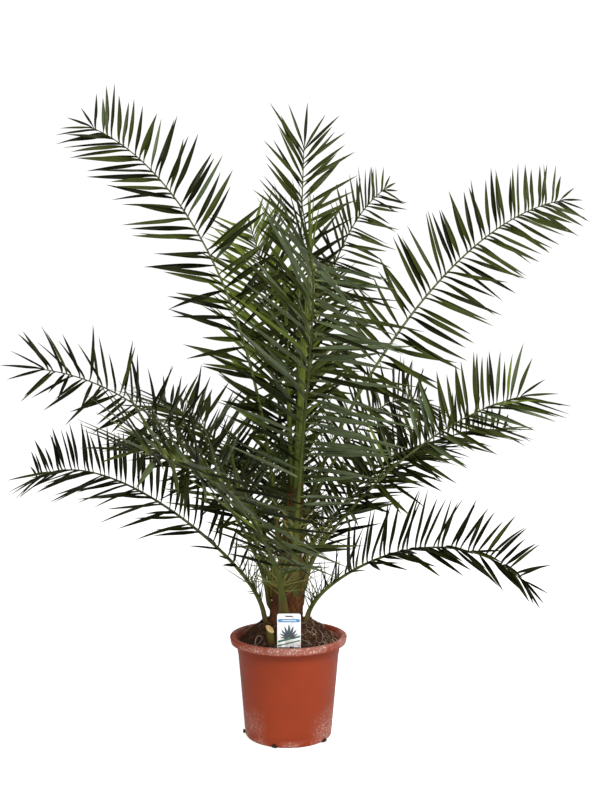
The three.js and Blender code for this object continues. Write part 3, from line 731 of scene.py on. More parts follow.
def pot_profile():
    """The pot's outline from the middle of its underside, round the lip, to the middle of its
    floor: a recessed underside on a foot ring, a tapered wall with a stacking step below the lip,
    a rolled lip with a hanging skirt, and the inside of the wall."""
    lip_radius, mouth = POT_LIP_RADIUS, POT_MOUTH_RADIUS
    outline = [(0, 1.6), (88, 1.6), (92, 1.2), (94, 0.2), (95.5, 0), (99, 0)]
    outline += arc((wall_radius(10) - 9, 9), 9, -88, -4, 7)
    steps = [(12, 0), (24, 0), (25.5, 0.35), (27, 0.35), (28.5, 0), (209, 0), (211, 0.2), (212.5, 0.9)]
    steps += [(214, 1.1), (236, 1.1), (247, 1.1)]
    outline += [(wall_radius(z) + extra, z) for z, extra in steps]
    outline += arc((wall_radius(249) + 3.2, 248.5), 2, 180, 90, 4)
    outline += arc((lip_radius - 5.5, 248), 2, 90, 0, 4)
    outline += [(lip_radius - 5.3, 238.2), (lip_radius - 4.9, 237.3), (lip_radius - 4.2, 237)]
    outline += [(lip_radius - 3.4, 237.2), (lip_radius - 2.9, 238), (lip_radius - 1.6, 244.6)]
    outline += [(lip_radius - 0.7, 250)]
    outline += arc((lip_radius - 4.2, 251), 4, 5, 84, 7)
    outline += [(lip_radius - 7, 254.8), (mouth + 4, 254.7)]
    outline += arc((mouth + 2.4, 252.4), 2.2, 85, 175, 5)
    outline += [(mouth - 1.6, 249), (wall_radius(237) - POT_WALL + 0.4, 238)]
    outline += [(wall_radius(z) - POT_WALL, z) for z in (235, 210, 120, 8)]
    outline += arc((wall_radius(8) - POT_WALL - 5, 8), 5, -8, -85, 4)
    return outline + [(0, POT_WALL)]


class PALM_OT_pot(bpy.types.Operator):
    """Turn the nursery pot and cut its drain notches"""

    bl_idname = "palm.pot"
    bl_label = "Pot"

    def execute(self, context):
        plastic = pot_plastic(context.scene.palm_colours)
        profile = pot_profile()
        sides = 240
        turn = circle(sides)
        # thin plastic is never quite round: the rim wanders by about half a millimetre
        height = np.array(profile)[1:-1, 1:]
        wander = 0.5 * np.sin(2 * turn + 0.7) + 0.25 * np.sin(5 * turn + 2)
        points, faces = lathe(profile, sides, wander * smoothstep(height, 60, 250))
        pot = mesh_piece("pot_shell", points, faces, plastic, crease=28)
        cutters = []
        for out in around(NOTCH_TURNS):
            ends = out * np.array([[POT_FOOT_RADIUS - 16], [POT_FOOT_RADIUS + 12]]) + UP * 0.2
            drill = tubes(ends[None], DRAIN_RADIUS, 28)[:2]
            cutters.append(mesh_piece("drill", *drill, plastic))
        cut_away(pot, cutters)
        settle(pot, "pot", "pot")
        return {"FINISHED"}


# ---- Compost ------------------------------------------------------------------------------------


def soil_height(points):
    """Height of the compost at places x, y: the mound's profile, with lumps in waves 46 and 13 mm
    long that are calmer against the wall."""
    radius = np.hypot(points[..., 0], points[..., 1])
    flat = points * (1, 1, 0)
    lumps = 3.2 * ripple(flat, 46, 11) + 1.3 * ripple(flat, 13, 12)
    calm = 1 - smoothstep(radius, 112, 128) * 0.6
    return along(SOIL_PROFILE, radius) + lumps * calm


def scattered_on_soil(random, count, inner=30, outer=124):
    """Places on the compost, evenly dense between two radii."""
    radius = np.sqrt(random.uniform(inner**2, outer**2, count))
    places = level(random.uniform(0, TURN, count)) * radius[:, None]
    places[:, 2] = soil_height(places)
    return places


def crumbs(random, places, sizes):
    """Eight-sided crumbs: each is an octahedron with its corners moved by up to a third, squashed
    to as little as 0.4 along each axis and turned at random."""
    count = len(places)
    corners = np.array([[1, 0, 0], [0, 1, 0], [-1, 0, 0], [0, -1, 0], [0, 0, 1], [0, 0, -1]])
    upper = [[k, (k + 1) % 4, 4] for k in range(4)]
    faces = np.array(upper + [[b, a, 5] for a, b, _ in upper])
    shapes = corners * random.uniform(0.66, 1.33, (count, 6, 3))
    shapes = shapes * random.uniform(0.4, 1, (count, 1, 3))
    axis = unit(random.normal(size=(count, 1, 3)))
    angle = random.uniform(0, TURN, (count, 1, 1))
    kept = axis * np.sum(axis * shapes, axis=-1, keepdims=True)
    shapes = kept + (shapes - kept) * np.cos(angle) + np.cross(axis, shapes) * np.sin(angle)
    points = places[:, None] + shapes * sizes[:, None, None]
    return points.reshape(-1, 3), [(faces + 6 * np.arange(count)[:, None, None]).reshape(-1, 3)]


def lying_strands(random, places, lengths, lift, curl=0.7):
    """Paths of strands that lie on the compost: from each place on a heading that turns by up to
    3 curl either way, raised in the middle by up to lift, and kept off the pot's wall."""
    count, stations = len(places), 7
    share = np.linspace(0, 1, stations)
    heading = random.uniform(0, TURN, (count, 1)) + random.uniform(-curl, curl, (count, 1)) * share * 3
    moves = level(heading) * (lengths / (stations - 1))[:, None, None]
    path = places[:, None] + np.cumsum(moves, axis=1)
    radius = np.hypot(path[..., 0], path[..., 1])
    path[..., :2] *= np.minimum(1, 125 / radius)[..., None]
    rise = random.uniform(0.1, 1, (count, 1)) ** 2 * lift * np.sin(share * np.pi)
    path[..., 2] = soil_height(path) + 0.5 + rise
    return path


class PALM_OT_compost(bpy.types.Operator):
    """Fill the pot with compost, and strew crumbs, coir and roots over it"""

    bl_idname = "palm.compost"
    bl_label = "Compost"

    def execute(self, context):
        colours, sizes = context.scene.palm_colours, context.scene.palm_sizes
        random = np.random.default_rng(5)
        sides, rings, foot = 220, 70, 120
        edge = float(wall_radius(SOIL_PROFILE[-1][1])) - POT_WALL - 0.3
        profile = [(radius, 0) for radius in np.linspace(0, edge, rings)]
        points, faces = lathe([*profile, (edge - 8, foot), (0, foot)], sides)
        top = slice(0, 1 + (rings - 1) * sides)
        points[top, 2] = soil_height(points[top])
        compost = loose_stuff("damp potting compost", colours.compost, 0.006, 0.0012)
        settle(mesh_piece("compost", points, faces, compost, crease=60), "soil", "soil")

        places = scattered_on_soil(random, sizes.crumb_count)
        grain = random.uniform(0.6, 1, sizes.crumb_count) ** 3 * 5.2
        barky = random.random(sizes.crumb_count) < BARK_SHARE
        bark = loose_stuff("composted bark", colours.bark, 0.003, 0.0006)
        for name, chosen, stuff in (("compost_crumbs", ~barky, compost), ("bark_crumbs", barky, bark)):
            made = mesh_piece(name, *crumbs(random, places[chosen], grain[chosen]), stuff, crease=10)
            settle(made, "soil")

        coir = loose_stuff("coir fibre", colours.coir, 0.01, 0.0002)
        places = scattered_on_soil(random, sizes.coir_count)
        paths = lying_strands(random, places, random.uniform(10, 42, sizes.coir_count), 7)
        radii = random.uniform(0.3, 0.75, (sizes.coir_count, 1))
        settle(mesh_piece("coir", *tubes(paths, radii)[:2], coir), "soil")

        root = loose_stuff("dry fine root", colours.root, 0.02, 0.0002, 0.8)
        places = scattered_on_soil(random, sizes.root_count, 50)
        # most of them show at the front right
        places = places[places[:, 0] - 0.6 * places[:, 1] > random.uniform(-110, 70, len(places))]
        paths = lying_strands(random, places, random.uniform(14, 46, len(places)), 9, 1.1)
        radii = random.uniform(0.35, 0.9, (len(places), 1)) * np.array([1, 1, 1, 1, 0.9, 0.7, 0.4])
        settle(mesh_piece("pale_roots", *tubes(paths, radii)[:2], root), "soil")
        self.fill_notches(random, bark, root)
        return {"FINISHED"}

    def fill_notches(self, random, bark, root):
        """Crumbs held in each drain notch, with a few roots that have grown through it."""
        out = np.repeat(around(NOTCH_TURNS), 70, axis=0)
        side = np.cross(UP, out)
        angle = random.uniform(0, np.pi, len(out))
        reach = DRAIN_RADIUS * 0.86 * np.sqrt(random.random(len(out)))
        places = out * random.uniform(100, 115, (len(out), 1))
        places = places + side * (reach * np.cos(angle))[:, None]
        places[:, 2] = 1.6 + reach * np.sin(angle)
        grain = random.uniform(1.4, 4, len(out))
        places[:, 2] = np.maximum(places[:, 2], grain * 1.35)
        made = mesh_piece("notch_compost", *crumbs(random, places, grain), bark, crease=10)
        settle(made, "soil")

        out = np.repeat(around(NOTCH_TURNS), 10, axis=0)
        side = np.cross(UP, out)
        share = np.linspace(0, 1, 7)
        swing = random.uniform(-9, 9, (len(out), 1)) * share**1.5
        swing = swing + random.uniform(-6, 6, (len(out), 1))
        push = 104 + share * random.uniform(6, 15, (len(out), 1))
        lift = 4 + random.uniform(-1, 5, (len(out), 1)) * np.sin(share * np.pi) - 2.6 * share
        paths = out[:, None] * push[..., None] + side[:, None] * swing[..., None]
        paths[..., 2] = np.maximum(lift, 0.9)
        radii = random.uniform(0.35, 0.7, (len(out), 1)) * mix(1, 0.5, share)
        settle(mesh_piece("notch_roots", *tubes(paths, radii)[:2], root), "soil")


# ---- Trunk --------------------------------------------------------------------------------------


class PALM_OT_trunk(bpy.types.Operator):
    """Build the trunk with its leaf scars and the loose fibre round it"""

    bl_idname = "palm.trunk"
    bl_label = "Trunk"

    def execute(self, context):
        colours, sizes = context.scene.palm_colours, context.scene.palm_sizes
        fibre = sheath_fibre(colours.fibre)
        settle(self.relief(fibre), "trunk", "trunk")
        settle(self.leaf_bases(stalk_skin("old clasping leaf base", colours.boot, 0.6)), "leaf")
        random = np.random.default_rng(23)
        for name, share, tone in (("fibre_strands", 0.7, 1.25), ("dry_strands", 0.3, 2.4)):
            count = int(sizes.strand_count * share)
            stuff = loose_stuff(name.replace("_", " "), toned(colours.fibre, tone), 0.01, 0.0002)
            paths = self.strands(random, count)
            radii = sizes.strand_radius / MM * random.uniform(0.6, 1.2, (count, 1))
            settle(mesh_piece(name, *tubes(paths, radii)[:2], stuff), "trunk")
        return {"FINISHED"}

    def leaf_bases(self, finish):
        """Old leaf bases that clasp the trunk like shingles, each 137.5 degrees round from the one
        below: pointed crescents that rise out of the fibre and stand 4 mm off it at their tips."""
        number = np.arange(LEAF_BASES)[:, None]
        s = np.linspace(0, 1, 12)
        foot = mix(48, 262, number / (LEAF_BASES - 1))
        height = foot + mix(50, 84, (number * 0.382) % 1) * s
        out = around(number * LEAF_BASE_TURN + 40)
        radius = trunk_radius(height)
        away = radius - 4 + 4 * smoothstep(s, 0, 0.3) + 4 * s**3
        at = trunk_centre(height) + out * away[..., None]
        angles = circle(14)
        x = (mix(17, 2.5, s**1.6) * mix(0.7, 1, radius / 46))[..., None] * np.cos(angles)
        y = mix(3, 1.2, s)[:, None] * np.sin(angles) - x**2 / (2 * radius[..., None])
        return loft_piece("old_leaf_bases", [(at, np.cross(UP, out), out, x, y)], finish, 40)

    def relief(self, fibre):
        """The trunk's radius less 1.5 mm, raised by up to 2.6 mm along two crossed sets of leaf
        scars (11 and 14 spirals round the trunk), with threads up to 0.75 mm high that run up it.
        Both fade to a quarter at the trunk's top."""
        sunk = -14  # the foot's height, within the compost
        height = np.linspace(sunk, TRUNK_HEIGHT, 190)[:, None]
        turn = circle(150)
        spiral = np.sin(11 * turn / 2 + height * 0.085) * np.sin(7 * turn - height * 0.07)
        scars = 1 - np.abs(spiral) ** 0.7
        threads = np.sin(turn * 70 + height * 0.05) * 0.35
        threads = threads + np.sin(turn * 43 - height * 0.08 + 1) * 0.4
        calm = 1 - smoothstep(height, 0.6 * TRUNK_HEIGHT, TRUNK_HEIGHT)
        radius = trunk_radius(np.maximum(height, 0)) - 1.5
        radius = radius + (2.6 * scars + threads) * mix(0.25, 1, calm)
        rings = trunk_centre(height) + level(turn) * radius[..., None]
        points, faces = pointed(trunk_centre(sunk), rings, trunk_centre(TRUNK_HEIGHT))
        return mesh_piece("trunk_relief", points, faces, fibre, crease=50)

    def strands(self, random, count):
        """Threads that start on the trunk and climb it, leaving it by up to 11 mm at their ends."""
        share = np.linspace(0, 1, 7)
        foot = random.uniform(-2, 0.86 * TRUNK_HEIGHT, (count, 1))
        height = foot + random.uniform(18, 66, (count, 1)) * share
        turn = random.uniform(0, TURN, (count, 1)) + random.uniform(-0.9, 0.9, (count, 1)) * share
        loose = random.uniform(0, 1, (count, 1)) ** 2 * 11 * share**2
        radius = trunk_radius(height) + 0.8 + loose
        return trunk_centre(height) + level(turn) * radius[..., None]


# ---- Fronds -------------------------------------------------------------------------------------


class PALM_OT_ribs(bpy.types.Operator):
    """Grow the leaf stalks and the ribs of the fronds"""

    bl_idname = "palm.ribs"
    bl_label = "Stalks and ribs"

    # name, share of the rib where it starts and ends, colour property, and how much of that colour
    # is left on the fronds with dark leaflets, whose ribs are painted darker as shade
    parts = (
        ("sheaths", RIB_FOOT_SHARE, 0.05, "sheath", 1),
        ("stalks", 0.05, 0.2, "stalk", 0.95),
        ("ribs", 0.2, 0.45, "rachis", 0.95),
        ("rib_ends", 0.45, 1.0, "rachis_end", 0.55),
    )

    def execute(self, context):
        colours = context.scene.palm_colours
        for part, start, end, tint, tone in self.parts:
            share = np.linspace(start, end, max(6, int((end - start) * 70)))
            # a second, darker copy of each skin for the dark fronds: painted shade
            for name, dark in ((part, False), ("dark_" + part, True)):
                colour = toned(getattr(colours, tint), tone if dark else 1)
                skin = stalk_skin("waxy palm " + name.replace("_", " "), colour)
                fronds = [frond for frond in FRONDS if (frond.tint == "dark") == dark]
                made = loft_piece(name, [self.section(frond, share) for frond in fronds], skin, 40)
                settle(made, "leaf", *FROND_NODES)
        return {"FINISHED"}

    def section(self, frond, share):
        """Frames and outline of a rib: an oval whose upper side is flattened, and hollowed where
        it clasps the trunk. Its foot sinks into the trunk."""
        frames = frames_at(rib_frames(frond), share)
        below = np.minimum(share, 0)[:, None] * frond.length
        sunk = (RIB_STAND + RIB_BASE[1] + 4) * (1 - smoothstep(share, RIB_FOOT_SHARE, 0.012))[:, None]
        at = frames.at + frames.forward * below - around(frond.turn) * sunk
        angles = circle(12)
        half_width, half_depth = [half[:, None] for half in rib_half_sizes(np.maximum(share, 0))]
        x = half_width * np.cos(angles)
        upper = np.maximum(np.sin(angles), 0)
        hollow = 0.55 * np.exp(-np.maximum(share, 0) / 0.05)[:, None]
        y = half_depth * (np.sin(angles) - upper * (0.3 + hollow * upper))
        return at[None], frames.across[None], frames.up[None], x[None], y[None]


def leaflet_rows(frond, random, leaflet_pairs):
    """Where a frond's leaflets stand and how: two rows in clusters of three, whose spacing narrows
    towards the end as t = i^0.85, on ranks that are raised in turn, plus three round the tip."""
    pairs = int(round(leaflet_pairs * (frond.length / 1000) ** 0.3))
    row = np.arange(2 * pairs)
    side = np.where(row % 2 == 0, -1.0, 1.0)
    cluster = LEAFLET_CLUSTER * (1 - (row // 2) % 3)
    t = ((row // 2 + 0.5 + side * 0.2 + cluster) / pairs) ** 0.85
    rank = np.array(LEAFLET_RANKS)[(row // 2) % len(LEAFLET_RANKS)]
    longer, apart, raised, turned, bent, hung, wider = random.uniform(-1, 1, (7, len(row)))
    broad = 1 + BROADER * smoothstep(frond.length, 1050, 1250)
    leaf = {
        "share": mix(frond.bare, 0.99, t),
        "side": side,
        "length": frond.leaflet * leaflet_share(t, frond.end) * (1 + 0.12 * longer),
        "angle": leaflet_angle(t) * frond.spread + 9 * apart + 10 * rank,
        "lift": frond.lift + 18 * rank + 9 * raised,
        "rise": np.full(len(row), frond.rise),
        "twist": side * (8 + 20 * turned),
        "bend": 0.05 + 0.07 * bent,
        "sag": 1 + 0.8 * hung,
        "width": broad * (1 + 0.22 * wider),
    }
    tip = {
        "share": [0.998, 0.996, 0.994],
        "side": [1.0, -1.0, 1.0],
        "length": frond.leaflet * frond.end * np.array([1, 0.95, 0.9]),
        "angle": [2.0, 22.0, 26.0],
        "lift": [4.0, 8.0, 10.0],
        "rise": [0.0, 0.0, 0.0],
        "twist": [0.0, -12.0, 12.0],
        "bend": [0.0, 0.0, 0.0],
        "sag": [1.0, 1.0, 1.0],
        "width": [0.9, 0.8, 0.8],
    }
    return {key: np.concatenate([leaf[key], tip[key]]) for key in leaf}


def leaflet_directions(frond, leaf):
    """The root and direction of each leaflet: forward cos(angle) + outward sin(angle), where
    outward is the side's across cos(lift) + up sin(lift). Where outward points to the sky, its
    height times the leaflet's rise is added."""
    frames = frames_at(rib_frames(frond), leaf["share"])
    angle, lift = np.radians(leaf["angle"])[:, None], np.radians(leaf["lift"])[:, None]
    outward = frames.across * (leaf["side"][:, None] * np.cos(lift)) + frames.up * np.sin(lift)
    direction = frames.forward * np.cos(angle) + outward * np.sin(angle)
    direction[:, 2] += leaf["rise"] * np.maximum(outward[:, 2], 0)
    return frames, unit(direction)


def blade_half_width(s):
    """Outline of a leaflet: s^0.6 (1 - s), scaled to 1 at its widest, on a foot of 0.14."""
    full = s**0.6 * np.maximum(1 - s, 0) / 0.338
    return np.maximum(full, 0.14 * (1 - smoothstep(s, 0.02, 0.2)))


class PALM_OT_leaflets(bpy.types.Operator):
    """Grow the leaflets of every frond, with the swelling that each stands on"""

    bl_idname = "palm.leaflets"
    bl_label = "Leaflets"

    def execute(self, context):
        colours, sizes = context.scene.palm_colours, context.scene.palm_sizes
        random = np.random.default_rng(41)
        blades = {tint: [] for tint in TINT_SHINES_AND_GLINTS}
        feet = []
        for frond in FRONDS:
            leaf = leaflet_rows(frond, random, sizes.leaflet_pairs)
            frames, direction = leaflet_directions(frond, leaf)
            grown = self.blades(frames, direction, leaf, sizes)
            feet.append(self.feet(frames, direction))
            dealt = random.choice(len(blades), len(direction), p=TINT_SHARES[frond.tint])
            for number, group in enumerate(blades.values()):
                group.append([values[dealt == number] for values in grown])
        for tint, group in blades.items():
            name, colour = f"waxy palm leaflet, {tint}", getattr(colours, tint)
            finish = leaf_blade(name, colour, colours.low_spine, TINT_SHINES_AND_GLINTS[tint])
            settle(loft_piece(f"leaflets_{tint}", group, finish, 24), "leaf", *FROND_NODES)
        finish = stalk_skin("leaflet swelling", colours.spine, 0.5)
        settle(loft_piece("leaflet_feet", feet, finish), "leaf", *FROND_NODES)
        return {"FINISHED"}

    def blades(self, frames, direction, leaf, sizes):
        """Folded blades. The midrib is root + direction L s + forward bend L s^2 - Z sag L s^2;
        the section is a gutter: both edges stand above the midrib by half width x tan(fold)."""
        s = np.linspace(0, 1, 12) ** 1.15
        length = leaf["length"][:, None]
        flat = unit(frames.up - direction * np.sum(frames.up * direction, axis=-1, keepdims=True))
        side = np.cross(direction, flat)
        twist = np.radians(leaf["twist"])[:, None]
        face = flat * np.cos(twist) + side * np.sin(twist)
        edge = side * np.cos(twist) - flat * np.sin(twist)
        sag = sizes.leaflet_sag * leaf["sag"] * np.hypot(direction[:, 0], direction[:, 1])
        at = frames.at[:, None] + direction[:, None] * (s * length - 1)[..., None]
        curve = frames.forward * leaf["bend"][:, None] - UP * sag[:, None]
        at = at + (curve * length)[:, None] * (s**2)[:, None]
        width = (sizes.leaflet_width * length + sizes.leaflet_extra / MM) * leaf["width"][:, None]
        half = width / 2 * blade_half_width(s) + 0.25
        fold = sizes.leaflet_fold * mix(2.1, 0.8, smoothstep(s, 0, 0.45))
        nought = 0 * half
        x = np.stack([half * np.cos(fold), nought, -half * np.cos(fold), nought], axis=-1)
        thick = sizes.leaflet_thickness / MM * mix(1, 0.4, s) + nought
        y = np.stack([half * np.tan(fold), nought, half * np.tan(fold), -thick], axis=-1)
        return at, edge[:, None], face[:, None], x, y

    def feet(self, frames, direction):
        """Swellings: short six-sided spindles, 2.9 mm thick, from the rib along each leaflet."""
        s = np.linspace(0, 1, 5)
        half_width = rib_half_sizes(frames.share)[0][:, None]
        at = frames.at[:, None] + direction[:, None] * (half_width * 0.2 + 7 * s)[..., None]
        edge = unit(np.cross(direction, frames.up))
        face = np.cross(edge, direction)
        angles = circle(6)
        radius = np.tile(0.35 + 1.1 * np.sin(np.pi * mix(0.12, 0.95, s)), (len(at), 1))[..., None]
        return at, edge[:, None], face[:, None], radius * np.cos(angles), radius * np.sin(angles)


class PALM_OT_spines(bpy.types.Operator):
    """Set the stiff spines on the leaf stalks"""

    bl_idname = "palm.spines"
    bl_label = "Spines"

    def execute(self, context):
        colours, sizes = context.scene.palm_colours, context.scene.palm_sizes
        random = np.random.default_rng(77)
        paths, radii, bleached = [], [], []
        for frond in FRONDS:
            count = 2 * int(round(5 + frond.length * frond.bare / 18))
            t = (np.arange(count) // 2 + random.uniform(0.1, 0.9, count)) / (count / 2)
            leaf = {
                "share": mix(0.055, frond.bare, t),
                "side": np.where(np.arange(count) % 2 == 0, -1.0, 1.0),
                "angle": mix(46, 64, t) + random.uniform(-32, 32, count),
                "lift": 24 + random.uniform(-40, 50, count),
                "rise": np.zeros(count),
            }
            frames, direction = leaflet_directions(frond, leaf)
            length = sizes.spine_length / MM * mix(0.5, 1, t) * random.uniform(0.6, 1.25, count)
            s = np.linspace(0, 1, 6)
            path = frames.at[:, None] + direction[:, None] * (length[:, None] * s)[..., None]
            bend = frames.forward * (length * random.uniform(-0.02, 0.12, count))[:, None]
            paths.append(path + bend[:, None] * (s**2)[:, None])
            radii.append(np.broadcast_to(1.35 * (1 - s**1.6) + 0.15, (count, len(s))))
            bleached.append(np.full(count, frond.tint in ("mixed", "grey")))
        paths, radii, bleached = [np.concatenate(values) for values in (paths, radii, bleached)]
        kinds = (("spines", ~bleached, colours.spine), ("low_spines", bleached, colours.low_spine))
        for name, chosen, tint in kinds:
            finish = stalk_skin("hard palm " + name.replace("_", " "), tint, 0.38)
            points, faces, uvs = tubes(paths[chosen], radii[chosen], 5)
            settle(mesh_piece(name, points, faces, finish, uvs, 50), "leaf", *FROND_NODES)
        return {"FINISHED"}


class PALM_OT_spears(bpy.types.Operator):
    """Build the folded young leaves at the heart of the palm"""

    bl_idname = "palm.spears"
    bl_label = "Young spears"

    def execute(self, context):
        colours = context.scene.palm_colours
        finish = stalk_skin("folded young palm leaf", colours.spear, 0.4)
        share = np.linspace(0, 1, 48)
        made = loft_piece("spears", [self.section(spear, share) for spear in SPEARS], finish, 60)
        settle(made, "young_leaf", *SPEAR_NODES)
        random = np.random.default_rng(91)
        paths = np.concatenate([self.loose_tips(spear, random) for spear in SPEARS])
        s = np.linspace(0, 1, paths.shape[1])
        radii = np.broadcast_to(2.2 * np.sin(np.pi * mix(0.06, 0.97, s)) + 0.2, paths.shape[:2])
        points, faces, uvs = tubes(paths, radii, 4)
        settle(mesh_piece("spear_leaflets", points, faces, finish, uvs, 30), "young_leaf")
        return {"FINISHED"}

    def axis(self, spear):
        """Where a spear stands, and the directions along and square to it."""
        root = trunk_centre(spear.height) + around(spear.turn) * SPEAR_STAND
        lean = np.radians(spear.lean)
        forward = around(spear.heading) * np.sin(lean) + UP * np.cos(lean)
        across = unit(np.array([1.0, 0, 0]) - forward * forward[0])
        return root, forward, across, np.cross(across, forward)

    def section(self, spear, share):
        """A spindle whose outline has 9 pleats, 24% deep, that wind partly round it."""
        root, forward, across, up = self.axis(spear)
        angles = circle(36)
        pleats = 1 - 0.24 * np.abs(np.sin(4.5 * angles + share[:, None] * 5))
        size = along(SPEAR_PROFILE, share)[:, None] * pleats
        at = root + forward * (share * spear.length)[:, None]
        x = SPEAR_HALF_WIDTH * size * np.cos(angles)
        y = SPEAR_HALF_DEPTH * size * np.sin(angles)
        return at[None], across[None, None], up[None, None], x[None], y[None]

    def loose_tips(self, spear, random, count=9):
        """Leaflets that have begun to leave the spindle: they lie along it and part from it by up
        to 15% of their length."""
        root, forward, across, up = self.axis(spear)
        start = random.uniform(0.35, 0.86, count)
        length = random.uniform(0.14, 0.24, count) * spear.length
        turn = random.uniform(0, TURN, count)[:, None]
        out = across * np.cos(turn) + up * np.sin(turn)
        s = np.linspace(0, 1, 8)[None, :, None]
        foot = root + forward * (start * spear.length)[:, None]
        away = random.uniform(0.03, 0.15, count)[:, None, None] * length[:, None, None]
        along_it = foot[:, None] + forward * length[:, None, None] * s
        return along_it + out[:, None] * (2.5 + away * s**1.5)


# ---- Label and pruned leaf base -----------------------------------------------------------------


def slab(outline, back, front):
    """A flat plate: an outline of (x, z) points, between two depths on Y."""
    x, z = np.asarray(outline, float).T
    points = [np.stack([x, np.full(len(x), depth), z], axis=-1) for depth in (back, front)]
    return np.concatenate(points), loft_faces(2, len(x))


def rounded_box(low, high, radii, count=6):
    """Outline of a box with rounded corners; radii are for its lower and upper corners."""
    left, right = (low[0], radii), (high[0], (-radii[0], -radii[1]))
    outline = []
    for (x, inward), end, start in ((right, 0, -90), (right, 1, 0), (left, 1, 90), (left, 0, 180)):
        z = (low[1] + radii[0], high[1] - radii[1])[end]
        outline += arc((x + inward[end], z), radii[end], start, start + 90, count)
    return outline


class PALM_OT_label(bpy.types.Operator):
    """Stand the printed plant label in the compost"""

    bl_idname = "palm.label"
    bl_label = "Plant label"

    def execute(self, context):
        colours = context.scene.palm_colours
        width, height, thickness = LABEL_SIZE
        depth = LABEL_PLACE[1]
        back, front = depth + thickness / 2, depth - thickness / 2
        card = printed_card("printed polystyrene card", colours.card)
        made = mesh_piece("label_card", *slab(self.box(width, height, 0, (2, 5)), back, front), card)
        slot = slab(self.box(18, 2.8, 5.6, (1.39, 1.39)), depth + 3, depth - 3)
        cut_away(made, [mesh_piece("slot", *slot, card)])
        settle(made, "label", "plant_label")

        # a generic print: a heading bar, a fan of plain leaves, slanting bands and a block of ink;
        # the rule and the fan lie on top of the rest
        prints = (
            ("label_bar", colours.print_blue, [self.box(width - 4, 8, 13, (3, 3))], 0.12),
            ("label_rule", colours.card, [self.box(width - 24, 1.6, 16.2, (0.7, 0.7))], 0.22),
            ("label_bands", colours.print_green, [self.band(62, 5), self.band(71, 3)], 0.12),
            ("label_block", colours.print_violet, [self.box(width - 4, 16, 82, (1, 1))], 0.12),
            ("label_fan", colours.print_dark, self.fan(62), 0.22),
        )
        for name, colour, outlines, proud in prints:
            finish = printed_card(name.replace("_", " ") + " ink", colour)
            plates = [slab(outline, front + 0.2, front - proud) for outline in outlines]
            first = np.cumsum([0, *[len(points) for points, _ in plates]])
            faces = [face + start for start, (_, sets) in zip(first, plates) for face in sets]
            points = np.concatenate([points for points, _ in plates])
            settle(mesh_piece(name, points, faces, finish), "label")
        return {"FINISHED"}

    def box(self, width, height, drop, radii):
        """A rounded box in the middle of the card, its upper edge a drop below the card's."""
        middle, top = LABEL_PLACE[0], LABEL_PLACE[2] + LABEL_SIZE[1] - drop
        return rounded_box((middle - width / 2, top - height), (middle + width / 2, top), radii)

    def band(self, drop, thick):
        """A band across the card that climbs 13 mm to the right."""
        left, right = LABEL_PLACE[0] + np.array([-0.5, 0.5]) * (LABEL_SIZE[0] - 4)
        middle = LABEL_PLACE[2] + LABEL_SIZE[1] - drop
        low, high = middle - 9, middle + 4
        return [(left, low), (right, high), (right, high + thick), (left, low + thick)]

    def fan(self, drop):
        """Nine lens-shaped leaves fanned from one point, the longest in the middle."""
        leaves = []
        s = np.linspace(0, 1, 9)
        foot = np.array([LABEL_PLACE[0], LABEL_PLACE[2] + LABEL_SIZE[1] - drop])
        lengths = (20, 24, 28, 32, 35, 32, 28, 24, 20)
        for angle, length in zip(np.radians(np.linspace(-78, 78, 9)), lengths):
            forward = np.array([np.sin(angle), np.cos(angle)])
            side = np.array([forward[1], -forward[0]])
            centre = foot + forward * (s * length + 2)[:, None]
            swell = (length * 0.095 * np.sin(np.pi * s))[:, None] + 0.05
            leaves.append(np.concatenate([centre + side * swell, (centre - side * swell)[::-1]]))
        return leaves


class PALM_OT_stub(bpy.types.Operator):
    """Set the stump of the leaf that was pruned off, with its dry cut face"""

    bl_idname = "palm.stub"
    bl_label = "Pruned leaf base"

    def execute(self, context):
        colours = context.scene.palm_colours
        skin = stalk_skin("waxy stump of a leaf stalk", colours.sheath, 0.6)
        stalk = np.linspace(0, STUB_LENGTH - 0.8, 14)
        settle(self.stump("stub_stalk", stalk, skin), "leaf_base", "leaf_stub")
        pith = np.array([STUB_LENGTH - 1.2, STUB_LENGTH])
        settle(self.stump("stub_cut_face", pith, cut_wood(colours.cut)), "leaf_base")
        return {"FINISHED"}

    def stump(self, name, stations, finish):
        """A blunt lens of a stalk, a little narrower at its end, through rings at distances from
        its foot that tilt into the slanting cut over its upper half."""
        out = around(STUB_TURN)
        lean = np.radians(STUB_LEAN)
        forward = out * np.sin(lean) + UP * np.cos(lean)
        across = np.cross(UP, out)
        up = unit(np.cross(forward, across))
        angles = circle(24)
        lens = np.sign(np.sin(angles)) * np.abs(np.sin(angles)) ** 1.3
        s = stations[:, None]
        taper = 1.1 - 0.08 * s / STUB_LENGTH
        cut = STUB_SLANT[0] * lens + STUB_SLANT[1] * np.cos(angles)
        reach = s + cut * smoothstep(s, 0.5 * STUB_LENGTH, STUB_LENGTH)
        foot = out * STUB_DISTANCE + np.array([TRUNK_FOOT, 0, STUB_FOOT])
        points = foot + forward * reach[..., None]
        points = points + across * (STUB_HALF[0] * np.cos(angles) * taper)[..., None]
        points = points + up * (STUB_HALF[1] * lens * taper)[..., None]
        return mesh_piece(name, points, loft_faces(len(stations), len(angles)), finish, crease=35)


# ---- Stage --------------------------------------------------------------------------------------


